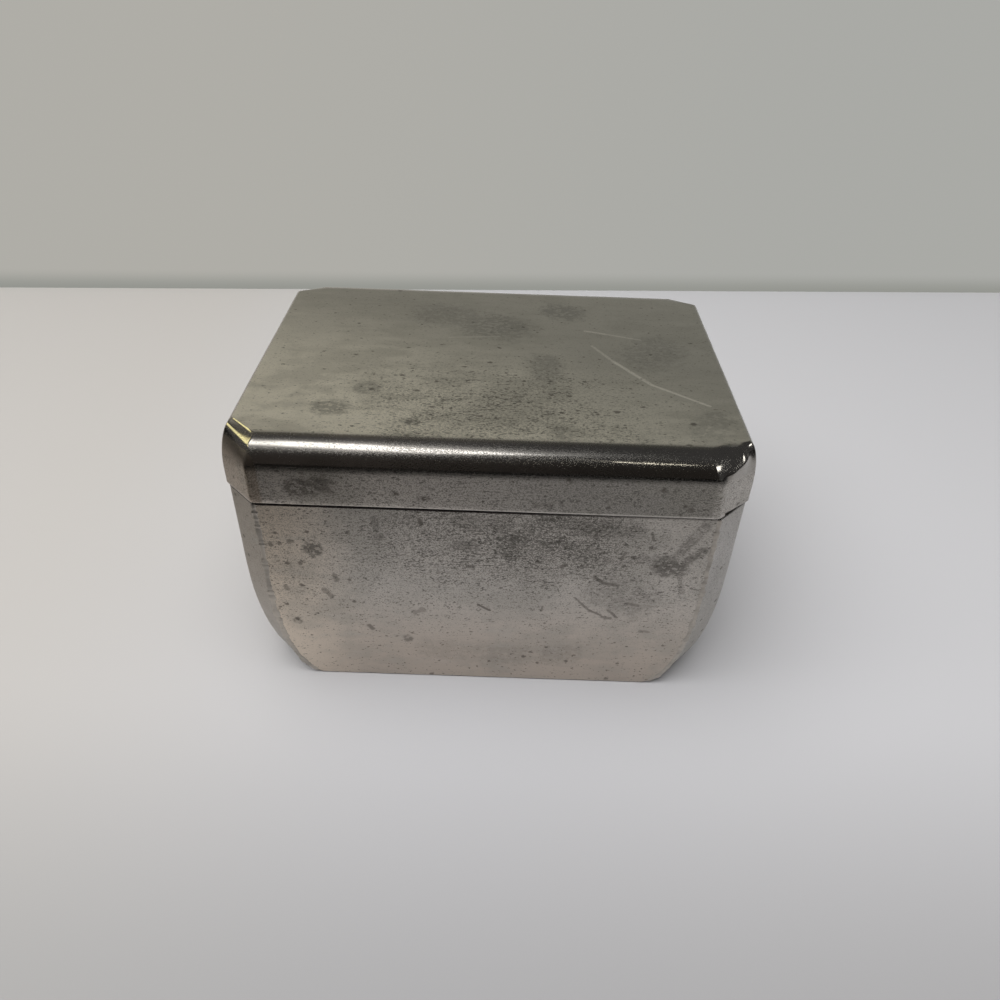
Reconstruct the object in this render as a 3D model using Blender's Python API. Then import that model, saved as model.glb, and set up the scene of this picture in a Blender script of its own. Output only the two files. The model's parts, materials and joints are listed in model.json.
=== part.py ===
"""Hinged trinket box of plated sheet metal with canted corners, modelled piece by piece in metres.

The body is a band, curved in at the bottom of its two sides, closed by a flat front and back plate.
The lid is one pressed shell with rolled edges. A rim inside the mouth locates the lid, and a barrel
of seven knuckles on a pin, seated on two bearers along the back, hinges it. +Z is up, the front
faces -Y, and the origin is on the table under the middle of the box.
"""
import math

import bmesh
import bpy

# Outside of the lid and the body
LID_WIDTH = 0.102
LID_DEPTH = 0.0768
LID_HEIGHT = 0.0131
BODY_HEIGHT = 0.0472
SEAM_GAP = 0.0003
CORNER_CUT = 0.0065
LID_OVERHANG = 0.00035
SHEET = 0.001

# Rolled edges of the lid: round at the front and back, lower and tighter at the sides
LID_EDGE_RADIUS = 0.0057
LID_SIDE_INSET = 0.0025
LID_SIDE_DROP = 0.0092

# Lower part of the body: the sides curve in, the front and back stay flat
SIDE_CURVE_INSET = 0.011
SIDE_CURVE_HEIGHT = 0.0298
FOOT_RADIUS = 0.0006

# Rim inside the mouth of the body
RIM_THICKNESS = 0.0008
RIM_RISE = 0.0024
RIM_DEPTH = 0.0045

# Hinge along the back
KNUCKLE_COUNT = 7
BARREL_RADIUS = 0.0015
BARREL_PROUD = 0.0002
BARREL_END_MARGIN = 0.0012
PIN_RADIUS = 0.0006
PIN_CLEARANCE = 0.0002
BEARER_THICKNESS = 0.0022
BEARER_HEIGHT = 0.0044
GROOVE_ANGLE = math.radians(52)

# Clearance between pieces that touch, and how far a cutter runs past what it cuts
FIT_GAP = 0.0003
PAST = 0.003

# How finely the rounded faces are divided, and the edge angle above which they look sharp
EDGE_STEPS = 10
CANT_STEPS = 4
CURVE_STEPS = 14
ROUND_SIDES = 32
SHARP_ANGLE = math.radians(25)

# Sizes that follow
CANT = 2 - math.sqrt(2)
BODY_WIDTH = LID_WIDTH - 2 * LID_OVERHANG
BODY_DEPTH = LID_DEPTH - 2 * LID_OVERHANG
BODY_CUT = CORNER_CUT - CANT * LID_OVERHANG
LID_BASE = BODY_HEIGHT + SEAM_GAP
BOX_HEIGHT = LID_BASE + LID_HEIGHT
HINGE_Y = BODY_DEPTH / 2 + BARREL_PROUD - BARREL_RADIUS
HINGE_Z = BODY_HEIGHT + SEAM_GAP / 2
BARREL_LENGTH = LID_WIDTH - 2 * CORNER_CUT - 2 * BARREL_END_MARGIN
KNUCKLE_PITCH = (BARREL_LENGTH + FIT_GAP) / KNUCKLE_COUNT

PLATE_COLOUR = (0.36, 0.35, 0.33)
INNER_COLOUR = (0.42, 0.40, 0.36)
HINGE_COLOUR = (0.30, 0.28, 0.25)


def clear_scene():
    """Remove every object that the file opened with."""
    for old in list(bpy.data.objects):
        bpy.data.objects.remove(old, do_unlink=True)


def new_collection(name):
    """Add a collection to the scene."""
    made = bpy.data.collections.new(name)
    bpy.context.scene.collection.children.link(made)
    return made


def metal(name, colour, roughness):
    """One metal finish."""
    made = bpy.data.materials.new(name)
    made.use_nodes = True
    shader = made.node_tree.nodes["Principled BSDF"]
    shader.inputs["Base Color"].default_value = (*colour, 1)
    shader.inputs["Metallic"].default_value = 1
    shader.inputs["Roughness"].default_value = roughness
    made.diffuse_color = (*colour, 1)
    return made


def add_object(name, mesh, collection):
    """Put a mesh in a collection as an object."""
    made = bpy.data.objects.new(name, mesh)
    collection.objects.link(made)
    return made


def as_cutter(made):
    """Mark an object as a cutter, which is not part of the box."""
    made.hide_render = True
    made.display_type = "WIRE"
    return made


def finish(made, colour, roughness):
    """Shade the rounded faces smooth and give the piece its own metal."""
    made.data.shade_smooth()
    made.data.set_sharp_from_angle(angle=SHARP_ANGLE)
    made.data.materials.append(metal(made.name + "_metal", colour, roughness))
    return made


def boolean(made, other, operation="DIFFERENCE"):
    """Cut a piece with another object, or keep what both share."""
    step = made.modifiers.new(operation.title(), "BOOLEAN")
    step.operation = operation
    step.object = other
    step.solver = "EXACT"


def octagon(width, depth, cut):
    """Corners of a rectangle with canted corners, anticlockwise from the front left."""
    x, y = width / 2, depth / 2
    return [(cut - x, -y), (x - cut, -y), (x, cut - y), (x, y - cut),
            (x - cut, y), (cut - x, y), (-x, y - cut), (-x, cut - y)]


def loft(name, rings, collection):
    """Closed solid through rings of as many corners each, listed from the bottom up."""
    shape = bmesh.new()
    rows = [[shape.verts.new(corner) for corner in ring] for ring in rings]
    count = len(rows[0])
    for low, high in zip(rows, rows[1:]):
        for i in range(count):
            j = (i + 1) % count
            shape.faces.new((low[i], low[j], high[j], high[i]))
    shape.faces.new(rows[0][::-1])
    shape.faces.new(rows[-1])
    bmesh.ops.recalc_face_normals(shape, faces=shape.faces)
    mesh = bpy.data.meshes.new(name)
    shape.to_mesh(mesh)
    shape.free()
    return add_object(name, mesh, collection)


def box(name, low, high, collection):
    """Box between two opposite corners."""
    middle = [(a + b) / 2 for a, b in zip(low, high)]
    shape = bmesh.new()
    bmesh.ops.create_cube(shape, size=1)
    bmesh.ops.scale(shape, vec=[b - a for a, b in zip(low, high)], verts=shape.verts)
    mesh = bpy.data.meshes.new(name)
    shape.to_mesh(mesh)
    shape.free()
    made = add_object(name, mesh, collection)
    made.location = middle
    return made


def rod(name, radius, length, x, collection):
    """Round rod along X on the hinge's axis, its middle at x."""
    shape = bmesh.new()
    bmesh.ops.create_cone(shape, cap_ends=True, segments=ROUND_SIDES, radius1=radius, radius2=radius, depth=length)
    mesh = bpy.data.meshes.new(name)
    shape.to_mesh(mesh)
    shape.free()
    made = add_object(name, mesh, collection)
    made.rotation_euler = (0, math.pi / 2, 0)
    made.location = (x, HINGE_Y, HINGE_Z)
    return made


def side_half_width(z, wall):
    """Half width of the body at height z: straight above, an elliptical curve below.

    wall is 0 for the outside and the sheet's thickness for the inside, whose curve keeps the centre.
    """
    straight = BODY_WIDTH / 2 - wall
    if z >= SIDE_CURVE_HEIGHT:
        return straight
    across, up = SIDE_CURVE_INSET - wall, SIDE_CURVE_HEIGHT - wall
    share = min((SIDE_CURVE_HEIGHT - z) / up, 1)
    return straight - across * (1 - math.sqrt(1 - share * share))


def curve_heights(wall):
    """Heights up the side's curve, close together where it is flattest."""
    up = SIDE_CURVE_HEIGHT - wall
    turns = [math.pi / 2 * i / CURVE_STEPS for i in range(CURVE_STEPS + 1)]
    return [wall + up * (1 - math.cos(turn)) for turn in turns]


def foot_inset(z):
    """How far the rounded foot of the front and back walls draws in at height z."""
    if z >= FOOT_RADIUS:
        return 0
    rise = FOOT_RADIUS - z
    return FOOT_RADIUS - math.sqrt(FOOT_RADIUS ** 2 - rise ** 2)


def body_ring(z, wall, foot=0):
    """Canted rectangle around the body at height z."""
    outline = octagon(2 * side_half_width(z, wall), BODY_DEPTH - 2 * (wall + foot), BODY_CUT - CANT * wall)
    return [(x, y, z) for x, y in outline]


def body_form(collection):
    """Outer form of the body, filled."""
    foot = [FOOT_RADIUS * share for share in (0.15, 0.4, 0.7)]
    heights = sorted(curve_heights(0) + foot + [BODY_HEIGHT])
    return loft("body_form", [body_ring(z, 0, foot_inset(z)) for z in heights], collection)


def body_cavity(collection):
    """Hollow of the body, with a flat floor one sheet thick, open past the mouth."""
    heights = curve_heights(SHEET) + [BODY_HEIGHT + PAST]
    return loft("body_cavity", [body_ring(z, SHEET) for z in heights], collection)


def plate_prism(name, side, inset, thickness, collection):
    """Prism on the outline of the front (side -1) or back (side 1) plate, drawn in by inset."""
    heights = [-PAST] + curve_heights(0) + [BODY_HEIGHT + PAST]
    half = [side_half_width(max(z, 0), 0) - BODY_CUT - inset for z in heights]
    outer, inner = side * (BODY_DEPTH / 2 + PAST), side * (BODY_DEPTH / 2 - thickness)
    outline = list(zip(half, heights)) + [(-x, z) for x, z in zip(half[::-1], heights[::-1])]
    rings = [[(x, y, z) for x, z in outline] for y in (outer, inner)]
    return loft(name, rings, collection)


def lid_ring(turn, wall):
    """Ring around the lid's rolled edge, turn radians past the upright wall.

    The front and back corners ride on the round roll and the side corners on the lower side roll,
    so each canted corner blends one into the other.
    """
    radius = LID_EDGE_RADIUS - wall
    inset, drop = LID_SIDE_INSET - wall, LID_SIDE_DROP - wall
    top = BOX_HEIGHT - wall
    half_width, half_depth = LID_WIDTH / 2 - wall, LID_DEPTH / 2 - wall
    cut = CORNER_CUT - CANT * wall
    lean = math.tan(math.pi / 8)
    draw_front, draw_side = radius * (1 - math.cos(turn)), inset * (1 - math.cos(turn))
    z_front, z_side = top - radius * (1 - math.sin(turn)), top - drop * (1 - math.sin(turn))
    ring = []
    for sx, sy in ((-1, -1), (1, -1), (1, 1), (-1, 1)):
        front = (sx * (half_width - cut - lean * draw_front), sy * (half_depth - draw_front), z_front)
        side = (sx * (half_width - draw_side), sy * (half_depth - cut - lean * draw_side), z_side)
        start, end = (side, front) if sx == sy else (front, side)
        for i in range(CANT_STEPS + 1):
            ring.append([a + (b - a) * i / CANT_STEPS for a, b in zip(start, end)])
    return ring


def lid_form(name, wall, base, collection):
    """Lid filled from base up to its top: wall is 0 outside and the sheet's thickness inside."""
    foot = [(x, y, base) for x, y, _ in lid_ring(0, wall)]
    turns = [math.pi / 2 * i / EDGE_STEPS for i in range(EDGE_STEPS + 1)]
    return loft(name, [foot] + [lid_ring(turn, wall) for turn in turns], collection)


def groove_cutter(collection):
    """Wedge opening backwards from the hinge's axis: it bevels both shells so that the lid can swing."""
    reach = BARREL_RADIUS + LID_OVERHANG + PAST
    rise = reach * math.tan(GROOVE_ANGLE)
    section = [(HINGE_Y, HINGE_Z), (HINGE_Y + reach, HINGE_Z - rise), (HINGE_Y + reach, HINGE_Z + rise)]
    ends = (-LID_WIDTH / 2 - PAST, LID_WIDTH / 2 + PAST)
    return loft("back_groove", [[(x, y, z) for y, z in section] for x in ends], collection)


def rim_form(collection, cutters):
    """Rim inside the mouth: a canted band, open at the back where the hinge is."""
    wall = SHEET + FIT_GAP
    low, high = BODY_HEIGHT - RIM_DEPTH, BODY_HEIGHT + RIM_RISE

    def band(name, draw, z_low, z_high, into):
        outline = octagon(BODY_WIDTH - 2 * draw, BODY_DEPTH - 2 * draw, BODY_CUT - CANT * draw)
        return loft(name, [[(x, y, z) for x, y in outline] for z in (z_low, z_high)], into)

    rim = band("mouth_rim", wall, low, high, collection)
    inside = as_cutter(band("rim_inside", wall + RIM_THICKNESS, low - PAST, high + PAST, cutters))
    back_y = BODY_DEPTH / 2 - BODY_CUT
    back = as_cutter(box("rim_back", (-LID_WIDTH, back_y, low - PAST), (LID_WIDTH, LID_DEPTH, high + PAST), cutters))
    boolean(rim, inside)
    boolean(rim, back)
    return rim


def bearer(name, wall_face, z_low, z_high, cuts, collection):
    """Bar along the inside of a back wall, hollowed to seat the hinge's barrel."""
    back = wall_face - FIT_GAP
    made = box(name, (-BARREL_LENGTH / 2, back - BEARER_THICKNESS, z_low), (BARREL_LENGTH / 2, back, z_high), collection)
    for cut in cuts:
        boolean(made, cut)
    return made


def hang_on(axis, made):
    """Parent a piece to the hinge's axis and leave it where it is."""
    made.parent = axis
    made.matrix_parent_inverse = axis.matrix_world.inverted()


def main():
    """Build every piece of the box."""
    clear_scene()
    parts = new_collection("trinket_box")
    cutters = new_collection("cutters")

    form = as_cutter(body_form(cutters))
    cavity = as_cutter(body_cavity(cutters))
    groove = as_cutter(groove_cutter(cutters))
    channel = as_cutter(rod("barrel_channel", BARREL_RADIUS + FIT_GAP, BARREL_LENGTH + 2 * FIT_GAP, 0, cutters))
    bore = as_cutter(rod("pin_bore", PIN_RADIUS + PIN_CLEARANCE, BARREL_LENGTH + 2 * PAST, 0, cutters))

    # The band: both sides, the canted corners and the base, with a place for each plate
    band = add_object("body_band", form.data.copy(), parts)
    boolean(band, cavity)
    for name, side in (("front", -1), ("back", 1)):
        place = as_cutter(plate_prism(name + "_place", side, 0, SHEET + FIT_GAP, cutters))
        boolean(band, place)
    boolean(band, groove)
    finish(band, PLATE_COLOUR, 0.38)

    # The plates, each on its own outline and rounded at its foot as the form is
    for name, side in (("front_plate", -1), ("back_plate", 1)):
        plate = plate_prism(name, side, FIT_GAP, SHEET, parts)
        boolean(plate, form, "INTERSECT")
        if side == 1:
            boolean(plate, groove)
            boolean(plate, channel)
        finish(plate, PLATE_COLOUR, 0.38)

    finish(rim_form(parts, cutters), INNER_COLOUR, 0.3)

    # The lid's shell
    lid = lid_form("lid_shell", 0, LID_BASE, parts)
    boolean(lid, as_cutter(lid_form("lid_cavity", SHEET, LID_BASE - PAST, cutters)))
    boolean(lid, groove)
    boolean(lid, channel)
    finish(lid, PLATE_COLOUR, 0.35)

    # What carries the barrel
    body_bearer = bearer("hinge_bearer_body", BODY_DEPTH / 2 - SHEET, BODY_HEIGHT - BEARER_HEIGHT, BODY_HEIGHT,
                         (channel, groove), parts)
    lid_bearer = bearer("hinge_bearer_lid", LID_DEPTH / 2 - SHEET, LID_BASE, LID_BASE + BEARER_HEIGHT,
                        (channel, groove), parts)
    finish(body_bearer, INNER_COLOUR, 0.3)
    finish(lid_bearer, INNER_COLOUR, 0.3)

    # The hinge's axis, which everything on the lid turns with
    axis = bpy.data.objects.new("lid_hinge_axis", None)
    axis.location = (0, HINGE_Y, HINGE_Z)
    parts.objects.link(axis)
    bpy.context.view_layer.update()
    hang_on(axis, lid)
    hang_on(axis, lid_bearer)

    # The barrel: knuckles in turn on the body and the lid, and the pin through them
    for i in range(KNUCKLE_COUNT):
        owner = "body" if i % 2 == 0 else "lid"
        x = (i - (KNUCKLE_COUNT - 1) / 2) * KNUCKLE_PITCH
        knuckle = rod(f"knuckle_{owner}_{i // 2 + 1}", BARREL_RADIUS, KNUCKLE_PITCH - FIT_GAP, x, parts)
        boolean(knuckle, bore)
        finish(knuckle, HINGE_COLOUR, 0.35)
        if owner == "lid":
            hang_on(axis, knuckle)
    finish(rod("hinge_pin", PIN_RADIUS, BARREL_LENGTH, 0, parts), HINGE_COLOUR, 0.3)


main()
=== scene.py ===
# %% [markdown]
# A hinged trinket box of plated sheet metal, dressed over its engineering model.
# The engineering model already has every piece at its real size and place, and it carries the motion.
# This lesson makes the finished surfaces that are seen: soft folds, rolled edges, solder, wear and patina.

# %% Load the engineering model
import json
import math

import bpy
import numpy as np
from mathutils import Matrix, Vector


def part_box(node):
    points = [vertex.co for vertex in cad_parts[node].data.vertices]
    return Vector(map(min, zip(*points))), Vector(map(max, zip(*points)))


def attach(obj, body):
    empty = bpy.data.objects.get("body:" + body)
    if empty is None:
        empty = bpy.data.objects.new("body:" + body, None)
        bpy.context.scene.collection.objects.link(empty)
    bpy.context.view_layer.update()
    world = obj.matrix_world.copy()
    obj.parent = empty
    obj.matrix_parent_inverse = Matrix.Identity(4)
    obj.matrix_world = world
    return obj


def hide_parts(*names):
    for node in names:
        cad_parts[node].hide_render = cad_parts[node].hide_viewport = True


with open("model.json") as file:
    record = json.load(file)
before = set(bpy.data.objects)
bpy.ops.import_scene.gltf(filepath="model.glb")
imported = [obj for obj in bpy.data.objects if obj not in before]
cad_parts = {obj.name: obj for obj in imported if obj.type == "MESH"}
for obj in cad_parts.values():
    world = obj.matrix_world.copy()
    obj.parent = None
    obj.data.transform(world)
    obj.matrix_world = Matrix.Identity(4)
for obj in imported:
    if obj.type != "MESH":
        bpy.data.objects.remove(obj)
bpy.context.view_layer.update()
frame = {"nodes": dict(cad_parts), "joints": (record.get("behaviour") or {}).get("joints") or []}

print("pieces in the model:", ", ".join(sorted(frame["nodes"])))

# %% [markdown]
# Every size below is either read from the model's own boxes or is a real size of the pressed metal, in
# millimetres. Reading the overall sizes keeps each finished piece exactly where its solid is.

# %% Sizes of the box
MM = 0.001

lid_low, lid_high = (np.array(corner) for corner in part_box("lid_shell"))
body_low, body_high = (np.array(corner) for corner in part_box("body_band"))

LID_WIDTH, LID_DEPTH = (lid_high - lid_low)[:2]
LID_BASE, TOP = lid_low[2], lid_high[2]
BODY_WIDTH, BODY_DEPTH = (body_high - body_low)[:2]
BODY_HEIGHT = body_high[2]
OVERHANG = (LID_WIDTH - BODY_WIDTH) / 2
HINGE_Y, HINGE_Z = frame["joints"][0]["pos_m"][1:]

SHEET = 1.0 * MM
CORNER_CUT = 6.5 * MM
CANT = 2 - math.sqrt(2)
FIT_GAP = 0.3 * MM
print("lid %.1f x %.1f mm, box %.1f mm high" % (LID_WIDTH / MM, LID_DEPTH / MM, TOP / MM))

# %% [markdown]
# A surface here is a grid of points worked out by a formula: rows run one way and columns the other.
# One helper lists the faces between neighbouring rows, and another turns points and faces into a piece.
# Reading the enclosed volume tells whether the faces look outwards, so no piece ends up inside out.

# %% Grids of points become meshes
def grid_quads(rows, columns, wrap):
    """Faces between neighbouring rows and columns; wrap joins the last column to the first."""
    row = np.arange(rows - 1)[:, None]
    column = np.arange(columns if wrap else columns - 1)[None, :]
    right = (column + 1) % columns
    corners = [row * columns + column, row * columns + right,
               (row + 1) * columns + right, (row + 1) * columns + column]
    return np.stack(np.broadcast_arrays(*corners), -1).reshape(-1, 4)


def tube(grid):
    """Points and faces of a closed tube: the columns of each row join up, and a cap shuts each end."""
    rows, columns = grid.shape[:2]
    ring = np.arange(columns)
    caps = [ring[::-1].tolist(), (ring + (rows - 1) * columns).tolist()]
    return grid.reshape(-1, 3), grid_quads(rows, columns, wrap=True).tolist() + caps


def faces_out(points, faces):
    """Faces turned to look outwards: the sum of corner products is six times the enclosed volume."""
    fan = np.array([(face[0], a, b) for face in faces for a, b in zip(face[1:], face[2:])])
    a, b, c = (points[fan[:, i]] for i in range(3))
    volume = np.einsum("ij,ij->i", a, np.cross(b, c)).sum() / 6
    return (faces if volume > 0 else [face[::-1] for face in faces]), abs(volume)


def make_piece(name, points, faces, body, replaced, marks=None, sharp=50, soft_edge=0):
    """Mesh object that rides on a body and stands for the solids it replaces.

    marks holds named values, one for each point, that the piece's finish reads. A soft_edge rounds
    the sharp edges of a cut sheet by that much.
    """
    points = np.asarray(points, float).reshape(-1, 3)
    faces, volume = faces_out(points, [tuple(face) for face in faces])
    mesh = bpy.data.meshes.new(name)
    mesh.from_pydata(points.tolist(), [], faces)
    for mark, values in (marks or {}).items():
        layer = mesh.attributes.new(mark, "FLOAT", "POINT")
        layer.data.foreach_set("value", np.asarray(values, np.float32).ravel())
    mesh.shade_smooth()
    mesh.set_sharp_from_angle(angle=math.radians(sharp))
    made = bpy.data.objects.new(name, mesh)
    bpy.context.scene.collection.objects.link(made)
    if soft_edge:
        bevel = made.modifiers.new("soft edge", "BEVEL")
        bevel.width, bevel.segments, bevel.limit_method = soft_edge, 2, "ANGLE"
        bevel.angle_limit = math.radians(sharp)
    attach(made, body)
    if replaced:
        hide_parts(*replaced)
    print("%-22s %6d faces, %.2f cm3 of metal" % (name, len(faces), volume * 1e6))
    return made


# %% [markdown]
# Pressed sheet is never perfectly flat. A mean of many plane waves in random directions is a smooth
# random field; a few hundredths of a millimetre of it bends the reflections the way real sheet does.

# %% Gentle unevenness
def swell(points, size, seed, count=24):
    """Smooth random field of unit strength: the scaled sum of plane waves about `size` long."""
    rng = np.random.default_rng(seed)
    direction = rng.normal(size=(count, 3))
    direction /= np.linalg.norm(direction, axis=1, keepdims=True)
    wave = direction * (2 * math.pi / (size * rng.uniform(0.7, 1.6, count)))[:, None]
    phase = rng.uniform(0, 2 * math.pi, count)
    return np.sin(points @ wave.T + phase).sum(-1) * math.sqrt(2 / count)


def smooth_step(low, high, value):
    """0 below low, 1 above high, and an S-shaped rise between."""
    share = np.clip((value - low) / (high - low), 0, 1)
    return share * share * (3 - 2 * share)


def dent(made, depth, size, seed):
    """Push a shell's points inwards along their normals by 0 to depth, both walls the same way."""
    mesh = made.data
    place = np.empty(len(mesh.vertices) * 3)
    normal = np.empty(len(mesh.vertices) * 3, np.float32)
    inside = np.empty(len(mesh.vertices), np.float32)
    mesh.vertices.foreach_get("co", place)
    mesh.vertex_normals.foreach_get("vector", normal)
    mesh.attributes["inside"].data.foreach_get("value", inside)
    place, normal = place.reshape(-1, 3), normal.reshape(-1, 3)
    push = depth * np.clip(0.5 + 0.3 * swell(place, size, seed), 0, 1)
    place -= normal * (push * (1 - 2 * inside))[:, None]
    place[:, 2] = np.maximum(place[:, 2], 0)
    mesh.vertices.foreach_set("co", place.ravel())
    mesh.update()


# %% [markdown]
# The plan of the box is a rectangle with canted corners. A press folds each corner on a small curve, so
# the outline rounds every corner with a quadratic curve between two points a short way along its edges.
# The same function works for one ring or for a whole stack of rings at once.

# %% The canted outline
LONG_STEPS = 92
SIDE_STEPS = 52
CANT_STEPS = 24
FOLD_STEPS = 10


def folded(corners, fold, steps, closed=True):
    """Smooth paths through stacks of corners, shape (rings, corners, 3), each corner rounded.

    Round a corner P with unit directions a to the last corner and b to the next, the curve is
    (1 - s)^2 (P + fold a) + 2 s (1 - s) P + s^2 (P + fold b). Straight stretches join the curves.
    An open path keeps its first and last corners sharp.
    """
    fold = np.broadcast_to(np.asarray(fold, float), corners.shape[:1])[:, None, None]
    back, ahead = np.roll(corners, 1, 1) - corners, np.roll(corners, -1, 1) - corners
    start = corners + fold * back / np.linalg.norm(back, axis=-1, keepdims=True)
    end = corners + fold * ahead / np.linalg.norm(ahead, axis=-1, keepdims=True)
    if not closed:
        start[:, -1], end[:, 0] = corners[:, -1], corners[:, 0]
    following = np.roll(start, -1, 1)
    turn = np.linspace(0, 1, FOLD_STEPS + 1)[:, None]
    path = []
    for k, count in enumerate(steps):
        s, e, p = start[:, k, None], end[:, k, None], corners[:, k, None]
        curve = (1 - turn) ** 2 * s + 2 * turn * (1 - turn) * p + turn ** 2 * e
        path.append(e if not closed and k == 0 else curve)
        run = np.linspace(0, 1, count + 1)[1:-1, None]
        path.append(e + run * (following[:, k, None] - e))
    if not closed:
        path.append(corners[:, -1:])
    return np.concatenate(path, 1)


RING_STEPS = [LONG_STEPS, CANT_STEPS, SIDE_STEPS, CANT_STEPS] * 2

# %% [markdown]
# The hinge's barrel lies in a groove along the back seam. Both shells are bevelled back from its axis so
# that the lid can swing, and hollowed a little way round the barrel itself.

# %% Room for the barrel
GROOVE_ANGLE = math.radians(52)
CHANNEL = 1.8 * MM
CHANNEL_ENDS = 44 * MM, 45.4 * MM
CHANNEL_FRONT = 0.1 * MM


def barrel_room(x, y):
    """How far above or below the hinge's axis a wall at (x, y) must stay.

    Behind the axis the bevel asks for (y - axis) tan(52 degrees). Over the barrel's length the channel
    asks for the height of a circle of radius 1.8 mm round the axis. The larger of the two counts.
    """
    behind = y - HINGE_Y
    bevel = np.clip(behind, 0, None) * math.tan(GROOVE_ANGLE)
    reach = CHANNEL * (1 - smooth_step(*CHANNEL_ENDS, np.abs(x)))
    circle = np.sqrt(np.clip(reach ** 2 - behind ** 2, 0, None)) * (behind > -CHANNEL_FRONT)
    return np.maximum(bevel, circle)


# %% [markdown]
# The lid is one pressed shell. Its front and back edges roll over on a quarter circle, its sides on a
# lower, tighter curve, and each canted corner blends one into the other. One ring runs round the lid for
# each step of the roll: at a turn of 0 it lies where the roll meets the upright wall, at 90 degrees where
# it meets the flat top. Rings that shrink to the middle fill the top, and the lower lip is a half round.

# %% Sizes of the lid's rolls
LID_ROLL = 5.7 * MM
LID_SIDE_INSET = 2.5 * MM
LID_SIDE_DROP = 9.2 * MM
LID_FOLD = 0.6 * MM
ROLL_STEPS = 26
LEAN = math.tan(math.pi / 8)
RING_KEYS = [0, 4, 9, 13, 26]
END_TURNS = np.radians([90, 74.5, 52, 42, 0])
SIDE_TURNS = np.radians([90, 79.5, 75, 65, 0])


def along_rings(values):
    """Value on each ring: straight between the keys, with each key rounded over a ring on both sides."""
    ring = np.arange(ROLL_STEPS + 1)[:, None] + np.linspace(-0.9, 0.9, 9)
    mean = np.interp(ring, RING_KEYS, values).mean(1)
    mean[0], mean[-1] = values[0], values[-1]
    return mean


print("front roll %.1f mm, side roll %.1f mm across and %.1f mm high, %d rings" % (
    LID_ROLL / MM, LID_SIDE_INSET / MM, LID_SIDE_DROP / MM, ROLL_STEPS + 1))

# %% [markdown]
# Knocks have changed the lid's two front corners. The left one is pressed in behind a fine ridge: at the
# top its outer wall lies some 4 mm inside the cant's plane, and lower down it comes back to it. At the
# right one the front roll ends early. Both are told ring by ring, at a few rings only, and read between
# them. Moving the corners of whole rings keeps each ring closed, where a patch pushed in could tear.

# %% The lid's corners
END_REACH = np.array([4.25, 4.0, 1.95, 1.5, 0]) * MM
SIDE_REACH = np.array([4.0, 3.78, 2.6, 2.0, 0]) * MM
RIDGE_KEY = 3
PINCH_KEYS = [0, 3, 7, 11, 19, 26]
PINCH = np.array([0.2, 1.4, 2.7, 2.8, 2.2, 1.35]) * MM


def corner_reach(reach, turn):
    """How far inside the cant's plane the pressed corner lies on each ring.

    The keys give a short crease, a shallow dish and a ridge. Below the ridge the reach fades as
    (1 - s)^2, with s the share of the drop that is left.
    """
    down = 1 - np.sin(turn)
    edge = RING_KEYS[RIDGE_KEY]
    share = np.clip((down - down[edge]) / (1 - down[edge]), 0, 1)
    return np.where(share > 0, reach[RIDGE_KEY] * (1 - share) ** 2, along_rings(reach))


def lid_corners(wall):
    """Corners of the rings, anticlockwise from the front left, shape (rings, 8, 3).

    A corner starts on the wall and draws in by r (1 - cos turn) while it stands r (1 - sin turn) under
    the top, with the front roll's r at the front and back and the side roll's two sizes at the sides.
    The corners are mitred. At the front left the outer wall is pressed: there x + y is the cant's own
    sum less the square root of 2 times the corner's reach in. At the front right the roll's end is drawn
    in along X by the pinch.
    """
    end_turn, side_turn = along_rings(END_TURNS), along_rings(SIDE_TURNS)
    roll, inset, drop = LID_ROLL - wall, LID_SIDE_INSET - wall, LID_SIDE_DROP - wall
    half_width, half_depth = LID_WIDTH / 2 - wall, LID_DEPTH / 2 - wall
    cut, top = CORNER_CUT - CANT * wall, TOP - wall
    end_y = half_depth - roll * (1 - np.cos(end_turn))
    side_x = half_width - inset * (1 - np.cos(side_turn))
    end_x = half_width - cut - LEAN * roll * (1 - np.cos(end_turn))
    side_y = half_depth - cut - LEAN * inset * (1 - np.cos(side_turn))
    end = np.stack([end_x, end_y, top - roll * (1 - np.sin(end_turn))], -1)
    side = np.stack([side_x, side_y, top - drop * (1 - np.sin(side_turn))], -1)
    pinched = end.copy()
    pinched[:, 0] -= np.interp(np.arange(ROLL_STEPS + 1), PINCH_KEYS, PINCH)
    pressed_end, pressed_side = end.copy(), side.copy()
    if not wall:
        plane = half_width + half_depth - cut
        pressed_end[:, 0] = plane - math.sqrt(2) * corner_reach(END_REACH, end_turn) - end_y
        pressed_side[:, 1] = plane - math.sqrt(2) * corner_reach(SIDE_REACH, side_turn) - side_x
    flips = [(-1, -1, pressed_end), (1, -1, pinched), (1, -1, side), (1, 1, side),
             (1, 1, end), (-1, 1, end), (-1, 1, side), (-1, -1, pressed_side)]
    return np.stack([corner * (x, y, 1) for x, y, corner in flips], 1)


# %% [markdown]
# Where two rolls meet, the press leaves a fine raised line, the mitre. Each point near a corner moves out
# along its normal, less the further it is from the corner. The cant at the front right was knocked into a
# low dome above a crease, so the points between its two mitres are worked out anew: a dome's profile down
# to the crease and a straight wall below. The result fades into the plain cant towards both mitres.

# %% The mitres and the dome
MITRE_PROUD = 0.05 * MM
MITRE_WIDTH = 0.28 * MM
CANT_WIDTH = 7.5 * MM
DOME_KEYS = [0, 0.2, 0.45, 0.7, 1]
DOME_DROP = np.array([4.1, 3.6, 2.8, 2.0, 1.5]) * MM
DOME_RINGS = [19.5, 18.5, 17, 16, 15]
DOME_ANGLE = math.radians(40)
BROW = 0.8 * MM
BROW_WAY = (0.5, -0.85, 0)
BROW_SCALE = 27 / 4


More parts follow.
